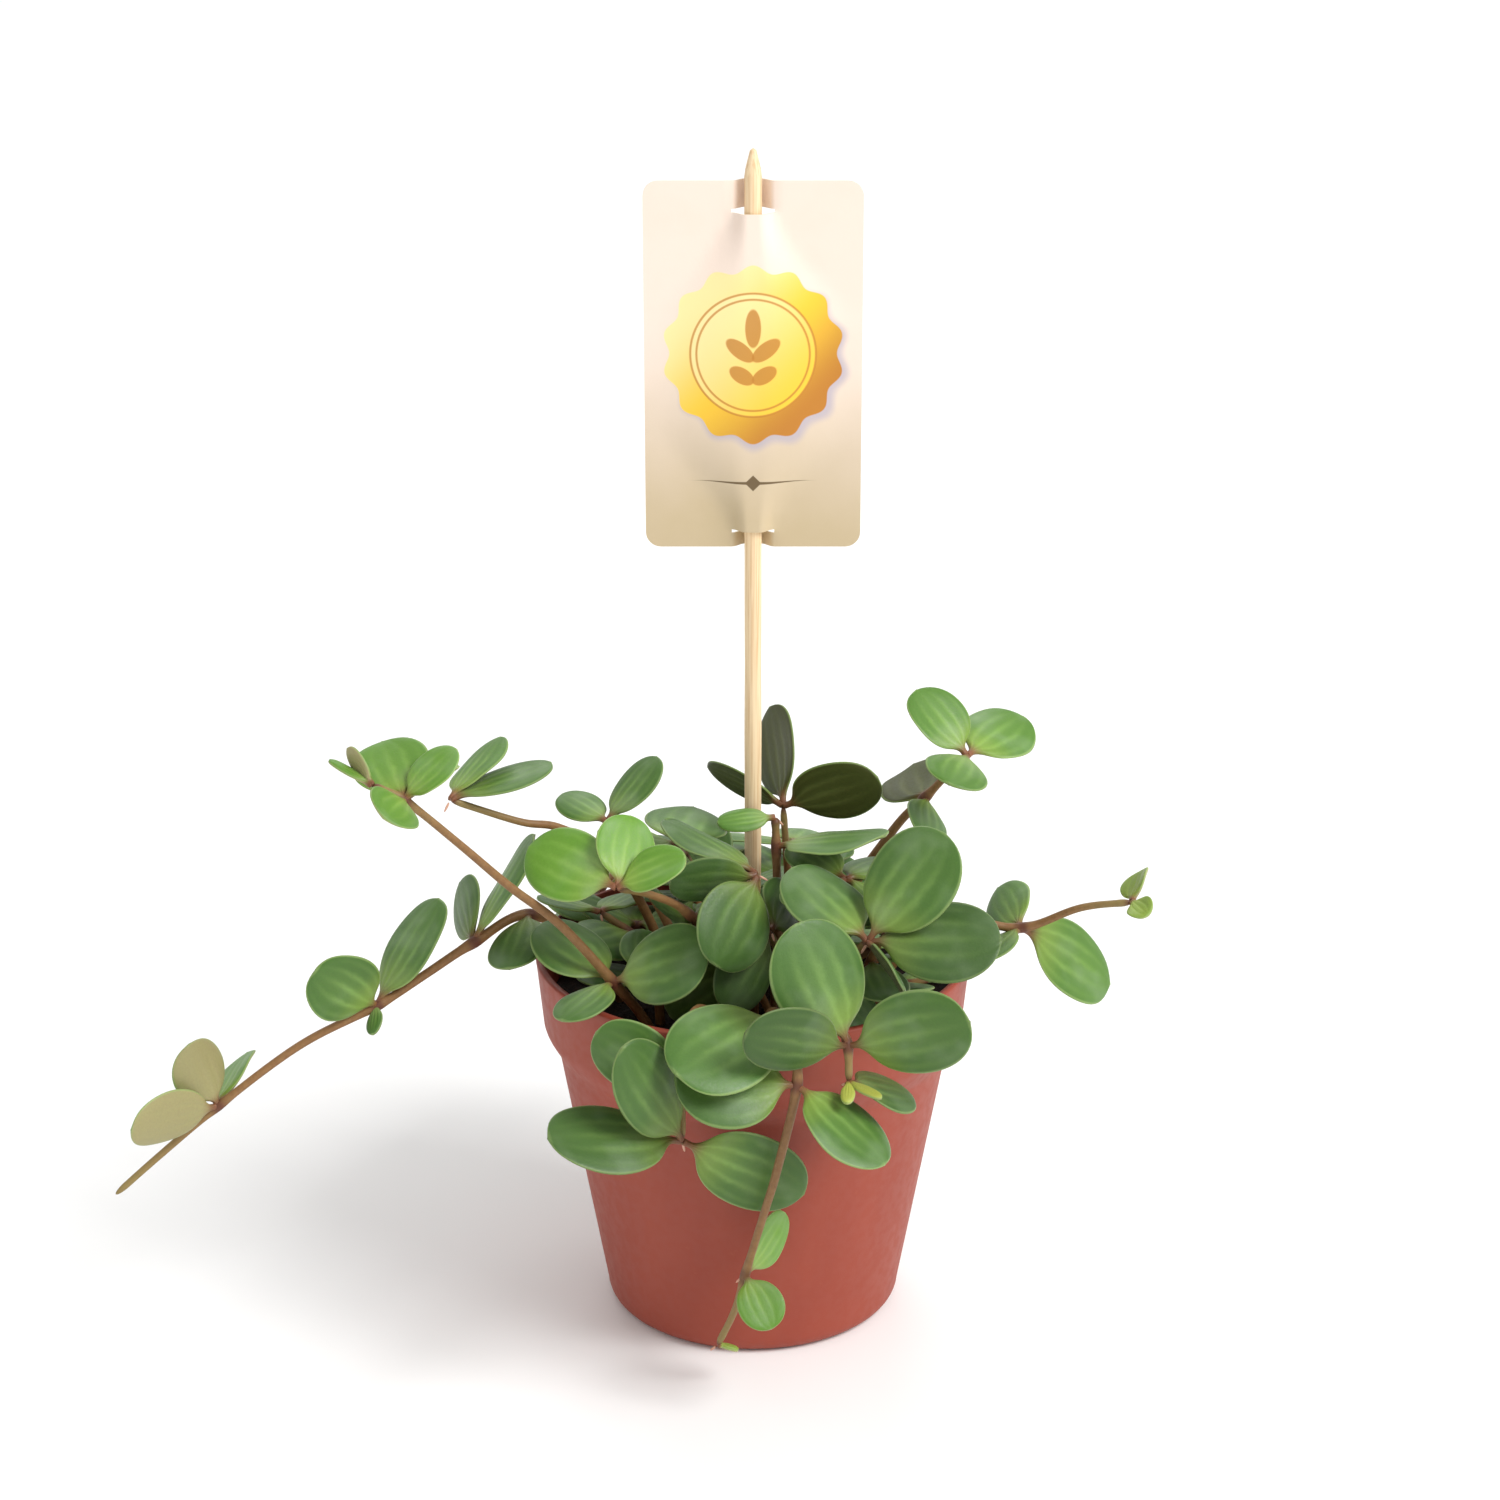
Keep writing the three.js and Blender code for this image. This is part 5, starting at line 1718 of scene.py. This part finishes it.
@dataclass(frozen=True)
class PlantCard:
    """The board card, threaded on the stick through two slits.

    Attributes:
        width, bottom, top: its size.
        corner, corner_faces: radius of its corners, and the faces round each.
        thick: thickness of the board.
        slits: the slits' heights.
        slit_half, slit_height: half the slits' width, and how far each gapes.
        slit_columns: how finely the board is divided beside them.
        ridge: half width of the board that stands off over the stick.
        bow_half: half the width over which the board bows between the slits.
        ease_height: how far from a slit the bow reaches its full width.
        gap: room between board and stick.
        sharp: the angle between two faces, in radians, from which their edge shows.
    """

    width: float = 42.4
    bottom: float = 164.4
    top: float = 237.2
    corner: float = 3.0
    corner_faces: int = 8
    thick: float = 0.5
    slits: Range = (167.6, 231.4)
    slit_half: float = 4.2
    slit_height: float = 0.7
    slit_columns: int = 17
    ridge: float = 1.4
    bow_half: float = 20.5
    ease_height: float = 24.0
    gap: float = 0.3
    sharp: float = 0.9

    def depth(self, x: float, z: float) -> float:
        """Gives how far the board stands behind the stick's axis at a place."""
        clear = STICK_RADIUS + self.gap + self.thick / 2
        low, high = self.slits
        inward = min(1.0, max(0.0, min(z - low, high - z)) / self.ease_height)
        reach = mix(self.slit_half, self.bow_half, eased(inward))
        share = max(0.0, min(1.0, (reach - abs(x)) / (reach - self.ridge)))
        return eased(share) * clear * (-1 if low < z < high else 1)

    def build(self) -> None:
        """Rounds a board's corners, cuts its slits, bends it over the stick and thickens it."""
        bm = bmesh.new()
        middle = Matrix.Translation((0, 0, (self.bottom + self.top) / 2 * MM))
        size = Matrix.Diagonal((self.width * MM, (self.top - self.bottom) * MM, 1, 1))
        at = middle @ Matrix.Rotation(math.pi / 2, 4, "X") @ size
        bmesh.ops.create_grid(bm, x_segments=1, y_segments=1, size=0.5, matrix=at)
        bmesh.ops.bevel(bm, geom=bm.verts[:], offset=self.corner * MM, profile=0.5,
                        segments=self.corner_faces, affect="VERTICES", material=-1)
        half = self.slit_height / 2
        across = [*np.linspace(-self.slit_half, self.slit_half, self.slit_columns)]
        across += [side * x for side in (-1, 1) for x in np.arange(6, self.width / 2 - 2, 2)]
        up = [z + side for z in self.slits for side in (-half, half)]
        up += [z for z in np.arange(self.bottom + 1, self.top - 1, 1.0)
               if min(abs(z - slit) for slit in self.slits) > 2 * half]
        for places, axis in ((across, Vector((1, 0, 0))), (up, Vector((0, 0, 1)))):
            for place in places:
                bmesh.ops.bisect_plane(bm, geom=bm.verts[:] + bm.edges[:] + bm.faces[:],
                                       plane_co=axis * (place * MM), plane_no=axis, dist=1e-7)
        slit = []
        for face in bm.faces:
            centre = face.calc_center_median() / MM
            if abs(centre.x) < self.slit_half and any(abs(centre.z - z) < half for z in self.slits):
                slit.append(face)
        bmesh.ops.delete(bm, geom=slit, context="FACES")
        for v in bm.verts:
            v.co.y = self.depth(v.co.x / MM, v.co.z / MM) * MM
        bmesh.ops.solidify(bm, geom=bm.faces[:], thickness=self.thick * MM)
        bmesh.ops.recalc_face_normals(bm, faces=bm.faces[:])
        for edge in bm.edges:
            edge.smooth = edge.calc_face_angle(0.0) < self.sharp
        to_piece(bm, "plant_card", [CardFinish().build()], "card")


@dataclass(frozen=True)
class Softbox:
    """A square light that faces the plant: its power in watts, side and place in metres."""

    watts: float
    size: float
    place: Point
    aim: Point = (0, 0, 0.09)

    def hang(self, name: str) -> None:
        """Hangs it in the studio under a name."""
        lamp = bpy.data.lights.new(name, "AREA")
        lamp.energy, lamp.size = self.watts, self.size
        holder = add_object(name, lamp)
        holder.location = self.place
        aim = Vector(self.aim) - Vector(self.place)
        holder.rotation_euler = aim.to_track_quat("-Z", "Y").to_euler()


@dataclass(frozen=True)
class Studio:
    """The pale floor, the soft lights and the camera.

    Attributes:
        elevation: the camera's height above level, in degrees.
        distance: from the camera to what it looks at, in millimetres.
        target: what it looks at.
        lens, sensor: focal length and the sensor's width.
        key, fill, back: the lights from the right, from the left and from behind.
        sky, sky_colour: brightness and colour of the room all round.
        floor_half: half the floor's side in metres.
    """

    elevation: float = 20.0
    distance: float = 700.0
    target: Point = (-0.6, 0.0, 121.5)
    lens: float = 83.0
    sensor: float = 36.0
    key: Softbox = Softbox(82.0, 1.5, (1.9, -1.15, 2.25))
    fill: Softbox = Softbox(0.8, 0.9, (-0.9, -0.5, 0.5))
    back: Softbox = Softbox(22.0, 1.8, (-0.3, 2.3, 2.3))
    sky: float = 0.62
    sky_colour: str = "#FFFFFF"
    floor_half: float = 6.0

    def build(self) -> None:
        """Sets up the floor, the lights and the camera."""
        bm = bmesh.new()
        bmesh.ops.create_grid(bm, x_segments=1, y_segments=1, size=self.floor_half)
        mesh = to_mesh(bm, "studio_floor")
        mesh.materials.append(FloorFinish().build())
        floor = add_object("studio_floor", mesh)
        scene = bpy.context.scene
        scene.world = bpy.data.worlds.new("studio")
        scene.world.use_nodes = True
        background = scene.world.node_tree.nodes["Background"].inputs
        background["Color"].default_value = srgb(self.sky_colour)
        background["Strength"].default_value = self.sky
        scene.view_settings.view_transform = "Standard"
        self.key.hang("key_softbox")
        self.fill.hang("fill_softbox")
        self.back.hang("back_softbox")
        tilt = math.radians(self.elevation)
        back = Vector((0, -math.cos(tilt), math.sin(tilt)))
        camera = bpy.data.cameras.new("camera")
        camera.lens, camera.sensor_width = self.lens, self.sensor
        holder = add_object("camera", camera)
        holder.location = (Vector(self.target) + back * self.distance) * MM
        holder.rotation_euler = (-back).to_track_quat("-Z", "Y").to_euler()
        bpy.context.scene.camera = holder


def main() -> None:
    """Builds the studio and every part of the plant."""
    logging.basicConfig(level=logging.INFO, format="%(message)s")
    Studio().build()
    NurseryPot().build()
    Peat().build()
    CardStick().build()
    PlantCard().build()
    Foliage().build()


if __name__ == "__main__":
    main()
